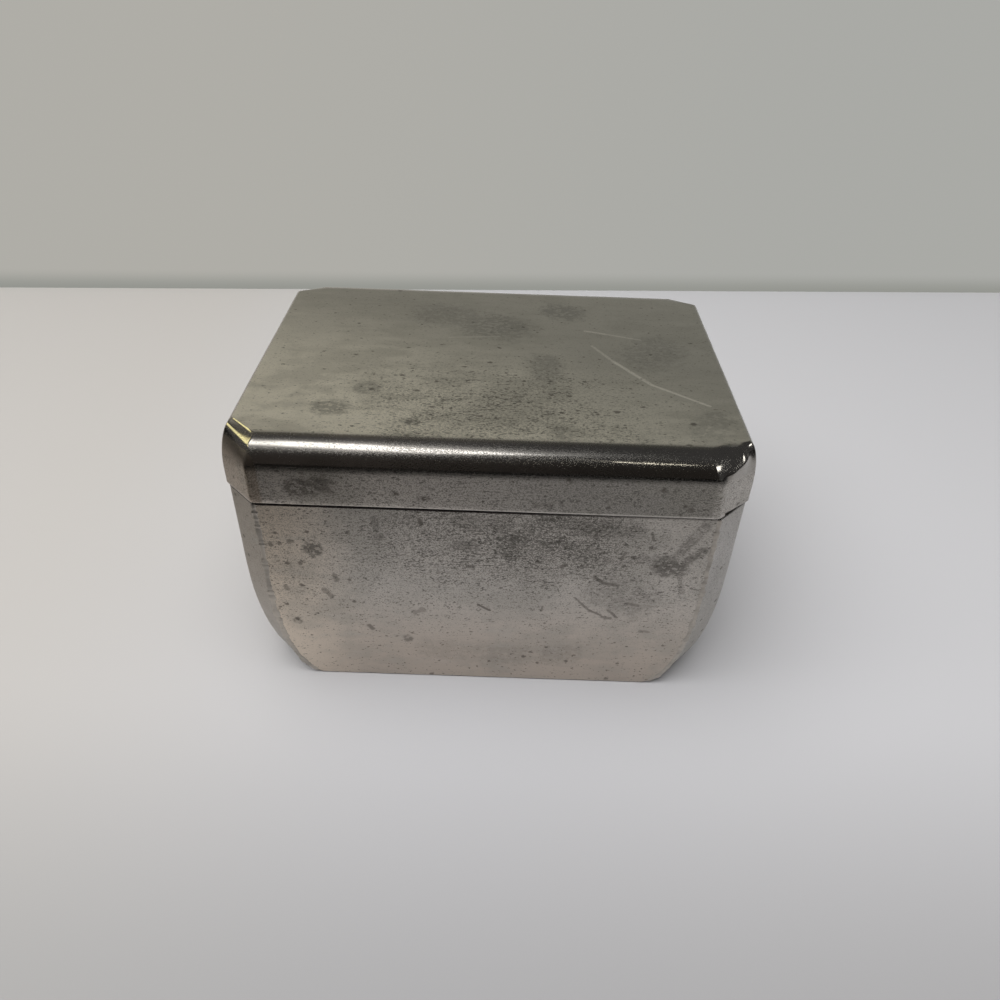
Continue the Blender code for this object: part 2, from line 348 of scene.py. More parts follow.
def from_mitre():
    """Distance of each column of a ring from the nearest corner."""
    places = []
    for count in RING_STEPS:
        into = (np.arange(FOLD_STEPS + 1) / FOLD_STEPS - 0.5) * 2 * LID_FOLD
        run = np.linspace(0, CANT_WIDTH, count + 1)[1:-1]
        nearest = np.minimum(run, CANT_WIDTH - run) if count == CANT_STEPS else run
        places += [np.abs(into), LID_FOLD + nearest]
    return np.concatenate(places)


def mitre_ridge(roll, turn):
    """Raise a fine ridge along the corners: exp(-(distance / width)^2) along the normal, mid-roll only."""
    share = 1 - turn / (math.pi / 2)
    out = (roll[-1] - roll[0]) * (1, 1, 0)
    out /= np.linalg.norm(out, axis=-1, keepdims=True)
    normal = out * np.cos(turn)[:, None, None] + np.array([0, 0, 1]) * np.sin(turn)[:, None, None]
    window = smooth_step(0.05, 0.2, share) * (1 - smooth_step(0.7, 0.95, share))
    proud = MITRE_PROUD * window[:, None] * np.exp(-(from_mitre() / MITRE_WIDTH) ** 2)
    return roll + proud[..., None] * normal


def dome(roll):
    """Turn the cant at the front right into a low dome that ends in a crease, and return the rings.

    Across the cant t runs from 0 to 1. With w the share of the way to the crease, the surface is
    sin(w a) / sin(a) of the way out, and half w and half (1 - cos(w a)) / (1 - cos(a)) of the crease's
    drop below the top. Past the crease the wall stands straight. The dome's upper edge stands out by a
    brow of 27/4 t^2 (1 - t), which is 1 at its highest. Towards both ends the mitre returns.
    """
    first = 2 * (FOLD_STEPS + 1) + LONG_STEPS - 1
    last = first + CANT_STEPS - 1
    t = np.arange(1, CANT_STEPS) / CANT_STEPS
    chords = [roll[k, first - 1] + t[:, None] * (roll[k, last] - roll[k, first - 1]) for k in (0, ROLL_STEPS)]
    inner, outer = chords
    inner += (BROW * BROW_SCALE * t ** 2 * (1 - t))[:, None] * BROW_WAY
    drop, crease = np.interp(t, DOME_KEYS, DOME_DROP), np.interp(t, DOME_KEYS, DOME_RINGS)
    ring = np.arange(ROLL_STEPS + 1)[:, None]
    w = np.minimum(ring / crease, 1)
    out = np.sin(w * DOME_ANGLE) / math.sin(DOME_ANGLE)
    down = 0.5 * w + 0.5 * (1 - np.cos(w * DOME_ANGLE)) / (1 - math.cos(DOME_ANGLE))
    past = np.clip((ring - crease) / (ROLL_STEPS - crease), 0, 1)
    made = inner + out[..., None] * (outer - inner)
    made[..., 2] = inner[:, 2] - drop * down - past * (inner[:, 2] - drop - outer[:, 2])
    share = smooth_step(0, 0.25, t) * (1 - smooth_step(0.5, 1, t))
    roll[:, first:last] += share[:, None] * (made - roll[:, first:last])
    return roll


# %% [markdown]
# The outer and the inner wall come from the same function, the inner one drawn in by the sheet. A lid
# that has been shut for years closes unevenly: here the seam narrows by 0.2 mm towards the right, and the
# foot of the skirt leans out a little at the right corner.

# %% The lid's walls
TOP_FOLD = 1.2 * MM
LIP = 0.3 * MM
SEAM_CLOSES = 0.2 * MM
SEAM_SPAN = -10 * MM, 42 * MM
FOOT_SHIFT = 0.7 * MM
FOOT_SPAN = 30 * MM, 43 * MM
FRONT_WALL = 1.3 * MM
TOP_STEPS = 34
SKIRT_STEPS = 8
LIP_STEPS = 6


def lid_wall(wall, fold, top_fold):
    """Rings from the middle of the top down to the lip, and how far each has rolled over, 0 to 1."""
    turn = along_rings(END_TURNS)
    over = 1 - turn / (math.pi / 2)
    fold_here = top_fold + (fold - top_fold) * np.clip(over * 3, 0, 1)
    roll = folded(lid_corners(wall), fold_here, RING_STEPS)
    if not wall:
        roll = dome(mitre_ridge(roll, turn))
    shrink = np.linspace(0, 1, TOP_STEPS + 1)[1:-1, None, None]
    top = roll[:1] * np.concatenate([shrink, shrink, np.ones_like(shrink)], -1)
    foot = roll[-1].copy()
    closing = SEAM_CLOSES * smooth_step(*SEAM_SPAN, foot[:, 0]) * (foot[:, 1] < 0)
    at_front = foot[:, 1] < FRONT_WALL - LID_DEPTH / 2
    foot[:, 0] += FOOT_SHIFT * at_front * smooth_step(*FOOT_SPAN, foot[:, 0])
    foot[:, 2] = LIP + np.maximum(LID_BASE - closing, HINGE_Z + barrel_room(foot[:, 0], foot[:, 1]))
    drop = np.linspace(0, 1, SKIRT_STEPS + 1)[1:, None, None]
    skirt = roll[-1] + drop * (foot - roll[-1])
    return np.concatenate([top, roll, skirt]), np.concatenate([0 * shrink[:, 0, 0], over, 1 + drop[:, 0, 0]])


def lid_shell():
    """The lid's outer wall, its lip and its inner wall as one closed surface."""
    outer, outer_over = lid_wall(0, LID_FOLD, TOP_FOLD)
    inner, inner_over = lid_wall(SHEET, LID_FOLD * 0.7, TOP_FOLD)
    round_lip = np.linspace(0, math.pi, LIP_STEPS + 1)[1:-1, None, None]
    lip = outer[-1] + (inner[-1] - outer[-1]) * (1 - np.cos(round_lip)) / 2
    lip = lip - np.sin(round_lip) * (0, 0, LIP)
    rings = np.concatenate([outer, lip, inner[::-1]])
    over = np.concatenate([outer_over, np.full(len(lip), 2.0), inner_over[::-1]])
    inside = np.concatenate([0 * outer_over, np.full(len(lip), 0.5), 1 + 0 * inner_over])
    rows, columns = rings.shape[:2]
    middle = [[0, 0, TOP], [0, 0, TOP - SHEET]]
    points = np.concatenate([rings.reshape(-1, 3), middle])
    faces = grid_quads(rows, columns, wrap=True).tolist()
    first, last = rows * columns, rows * columns + 1
    ring = np.arange(columns)
    faces += np.stack([np.full(columns, first), (ring + 1) % columns, ring], -1).tolist()
    ring = ring + (rows - 1) * columns
    after = np.roll(ring, -1)
    faces += np.stack([np.full(columns, last), ring, after], -1).tolist()
    rolled = np.append(np.repeat(over, columns), [0, 0])
    return points, faces, {"rolled": rolled, "inside": np.append(np.repeat(inside, columns), [0, 1])}


points, faces, marks = lid_shell()
lid = make_piece("lid", points, faces, "lid", ["lid_shell"], marks)
dent(lid, depth=0.05 * MM, size=16 * MM, seed=3)

# %% [markdown]
# The body is a bent band, which makes both sides, the canted corners and the base, and two flat plates
# let into its front and back. The sides curve in towards the foot on a curve a little fuller than a
# quarter of an ellipse, which its power sets: 2 would be the ellipse, and a larger one is squarer.

# %% The body's form
SIDE_CURVE_INSET = 11.0 * MM
SIDE_CURVE_HEIGHT = 29.8 * MM
SIDE_FULLNESS = 2.4
FOOT = 0.6 * MM
BODY_CUT = CORNER_CUT - CANT * OVERHANG
CURVE_STEPS = 44
WALL_STEPS = 22
BASE_STEPS = 40
BASE_EDGE = 0.004
BODY_FOLD = 0.9 * MM


def side_half_width(z, wall):
    """Half width at height z: straight above, and below it a curve a little fuller than an ellipse.

    With s the share of the curve's height that is gone, it draws in by across (1 - (1 - s^n)^(1/n)).
    """
    straight = BODY_WIDTH / 2 - wall
    across, up = SIDE_CURVE_INSET - wall, SIDE_CURVE_HEIGHT - wall
    share = np.clip((SIDE_CURVE_HEIGHT - z) / up, 0, 1)
    return straight - across * (1 - (1 - share ** SIDE_FULLNESS) ** (1 / SIDE_FULLNESS))


def foot_inset(z):
    """How far the small round at the foot of the front and back draws in at height z."""
    rise = np.clip(FOOT - z, 0, FOOT)
    return FOOT - np.sqrt(FOOT ** 2 - rise ** 2)


def body_heights(wall):
    """Heights from the mouth down to the floor: even on the straight wall, then even turns of the curve."""
    straight = np.linspace(BODY_HEIGHT, SIDE_CURVE_HEIGHT, WALL_STEPS + 1)
    turn = np.linspace(math.pi / 2, 0, CURVE_STEPS + 1)[1:]
    return np.concatenate([straight, wall + (SIDE_CURVE_HEIGHT - wall) * (1 - np.cos(turn))])


def lowered_mouth(grid):
    """Squeeze the straight wall down at the back so that its top edge clears the barrel."""
    top = np.minimum(BODY_HEIGHT, HINGE_Z - barrel_room(grid[0, :, 0], grid[0, :, 1]))
    share = np.clip((grid[..., 2] - SIDE_CURVE_HEIGHT) / (BODY_HEIGHT - SIDE_CURVE_HEIGHT), 0, 1)
    grid[..., 2] -= share * (BODY_HEIGHT - top)
    return grid


# %% [markdown]
# The band's wall is worked out for the right half, from its front edge round the side to its back edge,
# and mirrored for the left. Rows run from the mouth down one side, across the base and up the other, so
# the band is one sheet of points. The same sheet drawn in by its thickness gives the inner wall.

# %% The band
def band_half(wall):
    """Right half of the band's wall, shape (heights, columns, 3), from the front edge to the back edge.

    Each row is half of the canted outline at its height, with the two folds of the corner rounded. The
    inner wall stops where it meets the back of the front plate.
    """
    z = body_heights(wall)
    half, cut = side_half_width(z, wall), BODY_CUT - CANT * wall
    depth = BODY_DEPTH / 2 - wall - foot_inset(z) * (wall == 0)
    back_off = FIT_GAP if wall else 0
    near = np.stack([half - cut + back_off, -depth + back_off, z], -1)
    corner = np.stack([half, -depth + cut, z], -1)
    path = np.stack([near, corner, corner * (1, -1, 1), near * (1, -1, 1)], 1)
    steps = [CANT_STEPS, SIDE_STEPS, CANT_STEPS]
    return lowered_mouth(folded(path, BODY_FOLD - 0.3 * wall, steps, closed=False))


def band_wall(wall):
    """One wall of the whole band: right side from the mouth down, across the base, up the left side.

    The base is evenly divided, with one more row close to each edge so that the edge stays crisp.
    """
    right = band_half(wall)
    left = right[::-1] * (-1, 1, 1)
    seat = BODY_DEPTH / 2 - SHEET - FIT_GAP
    even = np.linspace(0, 1, BASE_STEPS + 1)[1:-1]
    across = np.concatenate([[BASE_EDGE], even, [1 - BASE_EDGE]])[:, None, None]
    base = right[-1] + across * (left[0] - right[-1])
    base[..., 1] *= seat / np.abs(base[0, 0, 1])
    return np.concatenate([right, base, left])


def thick_sheet(outer, inner):
    """Points and faces of a sheet between two grids of the same shape, closed along its four edges."""
    rows, columns = outer.shape[:2]
    points = np.concatenate([outer.reshape(-1, 3), inner.reshape(-1, 3)])
    quads = grid_quads(rows, columns, wrap=False)
    index = np.arange(rows * columns).reshape(rows, columns)
    border = np.concatenate([index[0, :-1], index[:-1, -1], index[-1, :0:-1], index[:0:-1, 0]])
    after = np.roll(border, -1)
    shift = rows * columns
    edge = np.stack([after, border, border + shift, after + shift], -1)
    inside = np.repeat([0.0, 1.0], shift)
    return points, np.concatenate([quads, quads[:, ::-1] + shift, edge]).tolist(), {"inside": inside}


SOFT_EDGE = 0.12 * MM

points, faces, marks = thick_sheet(band_wall(0), band_wall(SHEET))
band = make_piece("band", points, faces, "body", ["body_band"], marks, soft_edge=SOFT_EDGE)
dent(band, depth=0.04 * MM, size=14 * MM, seed=5)

# %% [markdown]
# Each flat plate follows the band's edge: at every height it is as wide as the opening it fills, less
# the gap for the solder. Its rows are heights and its columns run across.

# %% The front and back plates
PLATE_STEPS = 120


def plate_wall(side, wall):
    """One face of a plate: x runs between the band's edges less the solder gap, y is the plate's face."""
    z = body_heights(0)
    half = side_half_width(z, 0) - BODY_CUT - FIT_GAP
    x = np.linspace(-1, 1, PLATE_STEPS + 1)[None, :] * half[:, None]
    y = side * (BODY_DEPTH / 2 - wall - foot_inset(z) * (wall == 0))[:, None]
    grid = np.stack(np.broadcast_arrays(x, y, z[:, None]), -1).copy()
    return lowered_mouth(grid)


plates = []
for side, name in ((-1, "front"), (1, "back")):
    points, faces, marks = thick_sheet(plate_wall(side, 0), plate_wall(side, SHEET))
    plate = make_piece(name + "_sheet", points, faces, "body", [name + "_plate"], marks,
                       soft_edge=SOFT_EDGE)
    dent(plate, depth=0.04 * MM, size=14 * MM, seed=7)
    plates.append(plate)

# %% [markdown]
# The plates are soldered into the band. The solder stands a little proud of the corner as a narrow,
# lumpy ridge, brighter than the sheet. It is a flattened round carried down each edge of the plate,
# whose width and height wander along the way.

# %% Solder along the corners
BEAD_ROWS = 420
BEAD_ROUND = 14
BEAD_HALF_WIDTH = 0.44 * MM
BEAD_PROUD = 0.09 * MM
BEAD_LUMPS = (0.32, 2.2 * MM), (0.22, 0.8 * MM)
BEAD_WANDER, WANDER_LENGTH = 0.05 * MM, 3 * MM
BEAD_SUNK = 0.02 * MM
BEAD_END = 0.15 * MM
BEAD_GAP = 0.05 * MM
BEAD_FOOT, BEAD_FULL = 0.9 * MM, 5 * MM
BARREL_END = 44.2 * MM


def solder_bead(hand, side):
    """Lumpy half round from the mouth down to the foot, on the right (1) or left (-1) of a plate.

    The path P is the plate's edge. Each ring is P + w cos(a) across + h sin(a) out, with w and h
    scaled by a random field of the place along the path, and both fade to nothing at the foot.
    """
    room = np.maximum(BODY_HEIGHT - HINGE_Z, barrel_room(BARREL_END, BODY_DEPTH / 2)) * (side > 0)
    z = np.linspace(BODY_HEIGHT - (BEAD_GAP + room), BEAD_FOOT, BEAD_ROWS)
    x = hand * (side_half_width(z, 0) - BODY_CUT - FIT_GAP / 2)
    path = np.stack([x, np.full_like(z, side * (BODY_DEPTH / 2 - BEAD_SUNK)), z], -1)
    along = np.gradient(path, axis=0)
    along /= np.linalg.norm(along, axis=1, keepdims=True)
    out = np.array([0, side, 0.0])
    across = np.cross(along, out)
    seed = 11 + 2 * (hand > 0) + (side > 0)
    (much, broad), (less, narrow) = BEAD_LUMPS
    lump = 1 + much * swell(path, broad, seed) + less * swell(path, narrow, seed + 20)
    fade = smooth_step(BEAD_FOOT, BEAD_FULL, z) * 0.4 + 0.6
    ends = np.sqrt(np.clip(np.minimum(z - z[-1], z[0] - z) / BEAD_END, 0.02, 1))
    wide = (BEAD_HALF_WIDTH * np.clip(lump, 0.95, 1.7) * ends)[:, None, None]
    proud = (BEAD_PROUD * np.clip(0.5 * lump + 0.5, 0.6, 1.4) * fade * ends)[:, None, None]
    wander = (BEAD_WANDER * swell(path, WANDER_LENGTH, seed + 40))[:, None] * across
    angle = np.linspace(0, 2 * math.pi, BEAD_ROUND, endpoint=False)[:, None]
    rings = (path + wander)[:, None] + wide * np.cos(angle) * across[:, None] + proud * np.sin(angle) * out
    return tube(rings)


beads = []
for side, word in ((-1, "front"), (1, "back")):
    for hand, where in ((-1, "left"), (1, "right")):
        points, faces = solder_bead(hand, side)
        beads.append(make_piece("solder_%s_%s" % (word, where), points, faces, "body", []))

# %% [markdown]
# Inside the mouth stands a thin rim that guides the closed lid. Its section is a strip with a rounded
# top edge, carried along the canted outline and left open at the back, where the hinge is.

# %% The rim in the mouth
RIM_THICKNESS = 0.8 * MM
RIM_RISE = 2.4 * MM
RIM_DEPTH = 4.5 * MM
RIM_FOLD = 1.1 * MM
RIM_RISE_STEPS = 8


def rim():
    """Closed section of (draw, z) pairs, each row the outline drawn in by that much at that height."""
    inner_draw, outer_draw = SHEET + FIT_GAP + RIM_THICKNESS, SHEET + FIT_GAP
    middle, half = (inner_draw + outer_draw) / 2, RIM_THICKNESS / 2
    low, high = BODY_HEIGHT - RIM_DEPTH, BODY_HEIGHT + RIM_RISE
    turn = np.linspace(0, math.pi, 13)
    rise = np.linspace(low, high - half, RIM_RISE_STEPS)
    up, down = np.full(RIM_RISE_STEPS, outer_draw), np.full(RIM_RISE_STEPS, inner_draw)
    draw = np.concatenate([up, (middle - half * np.cos(turn))[1:-1], down])
    z = np.concatenate([rise, (high - half + half * np.sin(turn))[1:-1], rise[::-1]])
    x, y, cut = BODY_WIDTH / 2 - draw, BODY_DEPTH / 2 - draw, BODY_CUT - CANT * draw
    stop = np.full_like(x, BODY_DEPTH / 2 - BODY_CUT)
    outline = [(-x, stop), (-x, cut - y), (cut - x, -y), (x - cut, -y), (x, cut - y), (x, stop)]
    corners = np.stack([np.stack([a, b, z], -1) for a, b in outline], 1)
    steps = [SIDE_STEPS, CANT_STEPS, LONG_STEPS, CANT_STEPS, SIDE_STEPS]
    return tube(folded(corners, RIM_FOLD, steps, closed=False).swapaxes(0, 1))


points, faces = rim()
rim_piece = make_piece("rim", points, faces, "body", ["mouth_rim"], sharp=60)

# %% [markdown]
# The hinge is a barrel of seven rolled knuckles round one pin, in turn on the body and the lid. A bar
# inside each shell carries its knuckles. The bars are long prisms, hollowed to seat the barrel.

# %% Bars that carry the barrel
BAR_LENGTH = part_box("hinge_bearer_lid")[1][0] * 2
BAR_STEPS = 60


def bar(name):
    """Prism along X: its section is the bar's rectangle with the barrel's channel hollowed out."""
    (_, front, low), (_, back, high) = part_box(name)
    up = 1 if low > HINGE_Z else -1
    near, far = (low, high) if up > 0 else (high, low)
    rise, reach = abs(near - HINGE_Z), back - HINGE_Y
    start = math.asin(rise / CHANNEL)
    end = math.acos(reach / CHANNEL)
    turn = np.linspace(math.pi - start, end, 14)
    arc = np.stack([HINGE_Y + CHANNEL * np.cos(turn), HINGE_Z + up * CHANNEL * np.sin(turn)], -1)
    section = np.concatenate([[(front, far), (front, near)], arc, [(back, far)]])
    x = np.linspace(-BAR_LENGTH / 2, BAR_LENGTH / 2, BAR_STEPS + 1)
    return tube(np.stack(np.broadcast_arrays(x[:, None], section[:, 0], section[:, 1]), -1))


bars = []
for name, body in (("hinge_bearer_body", "body"), ("hinge_bearer_lid", "lid")):
    points, faces = bar(name)
    bars.append(make_piece(name + "_bar", points, faces, body, [name], sharp=35,
                           soft_edge=0.15 * MM))

# %% [markdown]
# Each knuckle is a strip rolled into a tube: a closed profile swept round the axis, with chamfered ends
# and a fine seam where the strip's edge meets itself. Every knuckle's seam has turned a little further
# than its neighbour's.

# %% Knuckles and pin
BARREL = 1.5 * MM
BORE = 0.8 * MM
PIN = 0.6 * MM
PIN_DOME = 0.5 * MM
CHAMFER = 0.18 * MM
KNUCKLE_ROUND = 72
PIN_ROUND = 32
SEAM_DIP = 0.1 * MM
SEAM_ANGLE = 0.07
FIRST_SEAM, SEAM_STEP = 250, 9


def knuckle(low, high, seam):
    """Turned shape between x = low and high: a closed (x, radius) profile swept round the hinge's axis.

    The radius of the outer wall dips by a tenth of a millimetre at the seam's angle.
    """
    inner = np.linspace(high, low, 9)
    outer = np.linspace(low + CHAMFER, high - CHAMFER, 25)
    x = np.concatenate([[low], outer, [high], inner])
    end = [BARREL - CHAMFER]
    radius = np.concatenate([end, np.full_like(outer, BARREL), end, np.full_like(inner, BORE)])
    angle = np.linspace(0, 2 * math.pi, KNUCKLE_ROUND, endpoint=False)
    turned_by = (angle - seam + math.pi) % (2 * math.pi) - math.pi
    dip = SEAM_DIP * np.exp(-(turned_by / SEAM_ANGLE) ** 2)
    r = radius[None, :] - dip[:, None] * (radius > BORE)
    x, y = np.broadcast_to(x, r.shape), HINGE_Y + r * np.cos(angle)[:, None]
    grid = np.stack([x, y, HINGE_Z + r * np.sin(angle)[:, None]], -1)
    rows, columns = grid.shape[:2]
    index = np.arange(rows * columns).reshape(rows, columns)
    nxt, side = np.roll(index, -1, 0), np.roll(index, -1, 1)
    quads = np.stack([index, side, np.roll(side, -1, 0), nxt], -1).reshape(-1, 4)
    return grid.reshape(-1, 3), quads.tolist()


knuckles = []
for number, node in enumerate(sorted(n for n in frame["nodes"] if n.startswith("knuckle"))):
    low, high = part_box(node)
    points, faces = knuckle(low[0], high[0], seam=math.radians(FIRST_SEAM + SEAM_STEP * number))
    body = "body" if "body" in node else "lid"
    knuckles.append(make_piece(node + "_rolled", points, faces, body, [node], sharp=35))


def pin():
    """Rod along the axis with domed ends: near each end its radius follows a quarter ellipse."""
    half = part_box("hinge_pin")[1][0]
    turn = np.linspace(math.radians(6), math.pi / 2, 8)
    end = half - PIN_DOME * (1 - np.cos(turn))
    middle = np.linspace(-half + PIN_DOME, half - PIN_DOME, 30)[1:-1]
    x = np.concatenate([-end, middle, end[::-1]])
    radius = np.concatenate([PIN * np.sin(turn), np.full_like(middle, PIN), PIN * np.sin(turn)[::-1]])
    angle = np.linspace(0, 2 * math.pi, PIN_ROUND, endpoint=False)
    return tube(np.stack(np.broadcast_arrays(x[:, None], HINGE_Y + radius[:, None] * np.cos(angle),
                                             HINGE_Z + radius[:, None] * np.sin(angle)), -1))


points, faces = pin()
knuckles.append(make_piece("pin", points, faces, "body", ["hinge_pin"]))

# %% [markdown]
# Finishes are built from nodes. A small helper adds a node, fills its inputs and gives back an output,
# so that each material below reads like the sentence that describes it.

# %% A helper for nodes
class Wiring:
    """Adds nodes to one tree. A socket given as a value is linked and a number is set."""

    def __init__(self, tree):
        self.tree = tree

    def add(self, kind, inputs, **settings):
        node = self.tree.nodes.new("ShaderNode" + kind)
        for key, value in settings.items():
            setattr(node, key, value)
        for key, value in inputs.items():
            if isinstance(value, bpy.types.NodeSocket):
                self.link(value, node.inputs[key])
            else:
                node.inputs[key].default_value = value
        return node

    def link(self, value, socket):
        self.tree.links.new(value, socket)

    def math(self, operation, *values):
        return self.add("Math", dict(enumerate(values)), operation=operation).outputs[0]

    def times(self, first, second):
        return self.math("MULTIPLY", first, second)

    def plus(self, first, second):
        return self.math("ADD", first, second)

    def minus(self, first, second):
        return self.math("SUBTRACT", first, second)

    def larger(self, first, second):
        return self.math("MAXIMUM", first, second)

    def scaled(self, value, factor, added):
        """value times factor, plus added."""
        return self.math("MULTIPLY_ADD", value, factor, added)

    def vector(self, operation, *values, out=0):
        return self.add("VectorMath", dict(enumerate(values)), operation=operation).outputs[out]

    def parts(self, vector):
        """The x, y and z of a vector."""
        return self.add("SeparateXYZ", {"Vector": vector}).outputs

    def millimetres(self):
        """Position on the object, in millimetres."""
        return self.vector("MULTIPLY", self.add("TexCoord", {}).outputs["Object"], (1000, 1000, 1000))

    def painted(self, name):
        """Number painted on the mesh's points under this name."""
        return self.add("Attribute", {}, attribute_name=name).outputs["Fac"]

    def rise(self, value, low, high, start=0.0, end=1.0):
        """Smooth change from start to end while value goes from low to high."""
        spans = {"Value": value, "From Min": low, "From Max": high, "To Min": start, "To Max": end}
        return self.add("MapRange", spans, interpolation_type="SMOOTHSTEP").outputs[0]

    def blend(self, share, first, second):
        """Colour between first and second by share."""
        return self.add("Mix", {0: share, 6: first, 7: second}, data_type="RGBA").outputs[2]

    def tint(self, colour, mask, strength, tone):
        """Colour drawn towards a tone by mask times strength."""
        return self.blend(self.times(mask, strength), colour, tone)

    def between(self, share, first, second):
        """Number between first and second by share."""
        return self.add("Mix", {0: share, 2: first, 3: second}, data_type="FLOAT").outputs[0]

    def noise(self, vector, scale, detail=2.0, roughness=0.5, distortion=0.0):
        inputs = {"Vector": vector, "Scale": scale, "Detail": detail, "Roughness": roughness,
                  "Distortion": distortion}
        return self.add("TexNoise", inputs).outputs[0]

    def group(self, tree, inputs):
        """Outputs of a node group placed in this tree."""
        return self.add("Group", inputs, node_tree=tree).outputs


def new_group(name, inputs, outputs):
    """Node group with named sockets, its wiring helper, its input sockets and its output node."""
    tree = bpy.data.node_groups.new(name, "ShaderNodeTree")
    for label, kind, value in inputs:
        socket = tree.interface.new_socket(label, in_out="INPUT", socket_type="NodeSocket" + kind)
        socket.default_value = value
    for label in outputs:
        tree.interface.new_socket(label, in_out="OUTPUT", socket_type="NodeSocketFloat")
    given, out = tree.nodes.new("NodeGroupInput").outputs, tree.nodes.new("NodeGroupOutput").inputs
    return tree, Wiring(tree), given, out


# %% [markdown]
# Old plating is mottled: broad clouds where the metal has dulled, smears drawn sideways by years of
# wiping, and a fine grain. This group gives the three as numbers round one half, at a position in
# millimetres, and the shift moves the pattern so that no two pieces match.

# %% Mottle
mottle, g, given, out = new_group(
    "mottle", [("Position", "Vector", (0, 0, 0)), ("Shift", "Vector", (0, 0, 0))],
    ["Clouds", "Smears", "Grain"])
place = g.vector("ADD", given["Position"], given["Shift"])
g.link(g.noise(place, 0.055, 3, 0.55, 0.6), out["Clouds"])
drawn = g.vector("MULTIPLY", place, (0.35, 1.0, 1.0))
g.link(g.noise(drawn, 0.32, 4, 0.6, 0.4), out["Smears"])
g.link(g.noise(place, 4.2, 2, 0.6), out["Grain"])

# %% [markdown]
# Close up, old plating looks peppered: dark flecks, half a millimetre and less, crowd where the metal
# has corroded. Noise cut steeply at a level gives flecks with uneven shapes, and raising the level with
# the given share makes them crowd together. A slight stretch along X follows the way the sheet was rolled.

# %% Flecks
def drawn_along(g, given):
    """A group's position squeezed along X by its stretch, which makes what it draws that much longer."""
    squeeze = g.add("CombineXYZ", {"X": g.math("DIVIDE", 1.0, given["Stretch"]), "Y": 1.0, "Z": 1.0})
    return g.vector("MULTIPLY", given["Position"], squeeze.outputs[0])


flecks, g, given, out = new_group(
    "flecks", [("Position", "Vector", (0, 0, 0)), ("Size", "Float", 0.3), ("Share", "Float", 0.4),
               ("Stretch", "Float", 1.3)], ["Fleck"])
speck = g.noise(drawn_along(g, given), g.math("DIVIDE", 1.0, given["Size"]), 2, 0.65)
level = g.scaled(given["Share"], 0.30, 0.34)
g.link(g.rise(g.minus(level, speck), -0.02, 0.05), out["Fleck"])

# %% [markdown]
# Pits are small dark specks where the plating has failed. A Voronoi texture scatters points; each cell
# draws a random number, and only the cells whose number is under the given share hold a pit. So a share
# that changes over the surface makes dense and bare areas.

# %% Pits
pits, g, given, out = new_group(
    "pits", [("Position", "Vector", (0, 0, 0)), ("Size", "Float", 1.0), ("Share", "Float", 0.3),
             ("Stretch", "Float", 1.6)], ["Pit"])
place = drawn_along(g, given)
for scale, detail, pull in ((1.3, 2.0, 0.5), (3.5, 1.0, 0.45)):
    wobble = g.add("TexNoise", {"Vector": place, "Scale": scale, "Detail": detail}).outputs["Color"]
    place = g.vector("ADD", place, g.vector("MULTIPLY", wobble, (pull, pull, pull)))
cells = g.add("TexVoronoi", {"Vector": place, "Scale": g.math("DIVIDE", 1.0, given["Size"])})
chance = g.add("SeparateColor", {"Color": cells.outputs["Color"]}).outputs
holds = g.math("LESS_THAN", chance[0], given["Share"])
reach = g.scaled(chance[1], 0.34, 0.2)
spot = g.rise(g.math("DIVIDE", cells.outputs["Distance"], reach), 0.5, 1.0, 1.0, 0.0)
g.link(g.times(spot, holds), out["Pit"])

# %% [markdown]
# Named marks, such as a smear, a cluster of pits or a scratch, are strokes: everything within reach of
# the line between two points, with a ragged edge. The distance to the line is worked out with vectors.

# %% Strokes
stroke, g, given, out = new_group(
    "stroke", [("Position", "Vector", (0, 0, 0)), ("From", "Vector", (0, 0, 0)), ("To", "Vector", (0, 0, 0)),
               ("Reach", "Float", 1.0), ("Ragged", "Float", 0.5)], ["Stroke"])
along = g.vector("SUBTRACT", given["To"], given["From"])
away = g.vector("SUBTRACT", given["Position"], given["From"])
length = g.larger(g.vector("DOT_PRODUCT", along, along, out=1), 1e-6)
share = g.math("DIVIDE", g.vector("DOT_PRODUCT", away, along, out=1), length)
share = g.add("Clamp", {"Value": share}).outputs[0]
nearest = g.add("VectorMath", {0: along, "Scale": share}, operation="SCALE").outputs[0]
distance = g.vector("LENGTH", g.vector("SUBTRACT", away, nearest), out=1)
rough = g.minus(g.noise(given["Position"], 0.7, 4, 0.65), 0.5)
distance = g.plus(distance, g.times(rough, g.times(given["Ragged"], 2.0)))
g.link(g.rise(g.math("DIVIDE", distance, given["Reach"]), 0.35, 1.0, 1.0, 0.0), out["Stroke"])

# %% [markdown]
# Fine hairlines run along the sheet from rolling and wiping. Noise that is stretched a hundred times
# along X and cut at a high level leaves short, thin lines.

# %% Hairlines
hairlines, g, given, out = new_group(
    "hairlines", [("Position", "Vector", (0, 0, 0)), ("Stretch", "Vector", (0.05, 5, 5))], ["Line"])
streak = g.noise(g.vector("MULTIPLY", given["Position"], given["Stretch"]), 1.0, 2, 0.6)
g.link(g.rise(streak, 0.56, 0.72), out["Line"])
print("node groups:", ", ".join(group.name for group in bpy.data.node_groups))

# %% [markdown]
# The plated finish is one recipe used on each sheet with its own marks. Metal shows mostly what it
# mirrors, so the base colour is the share of light it gives back, a warm grey, and the patina lowers it.
# The roughness decides how blurred the mirror is: matt on the flats, sharp on the polished rolls.

# %% Helpers for finishes
PIT_BROWN = (0.12, 0.105, 0.09, 1)
FLECK_DARK = (0.08, 0.075, 0.065, 1)
INSIDE_GREY = (0.50, 0.48, 0.44, 1)
# Near black for the seam between lid and body: painted shade, with some grime.
SEAM_SHADE_AND_GRIME = (0.035, 0.03, 0.028, 1)
SEAM = BODY_HEIGHT / MM
GRAIN_DEPTH = 0.03 * MM


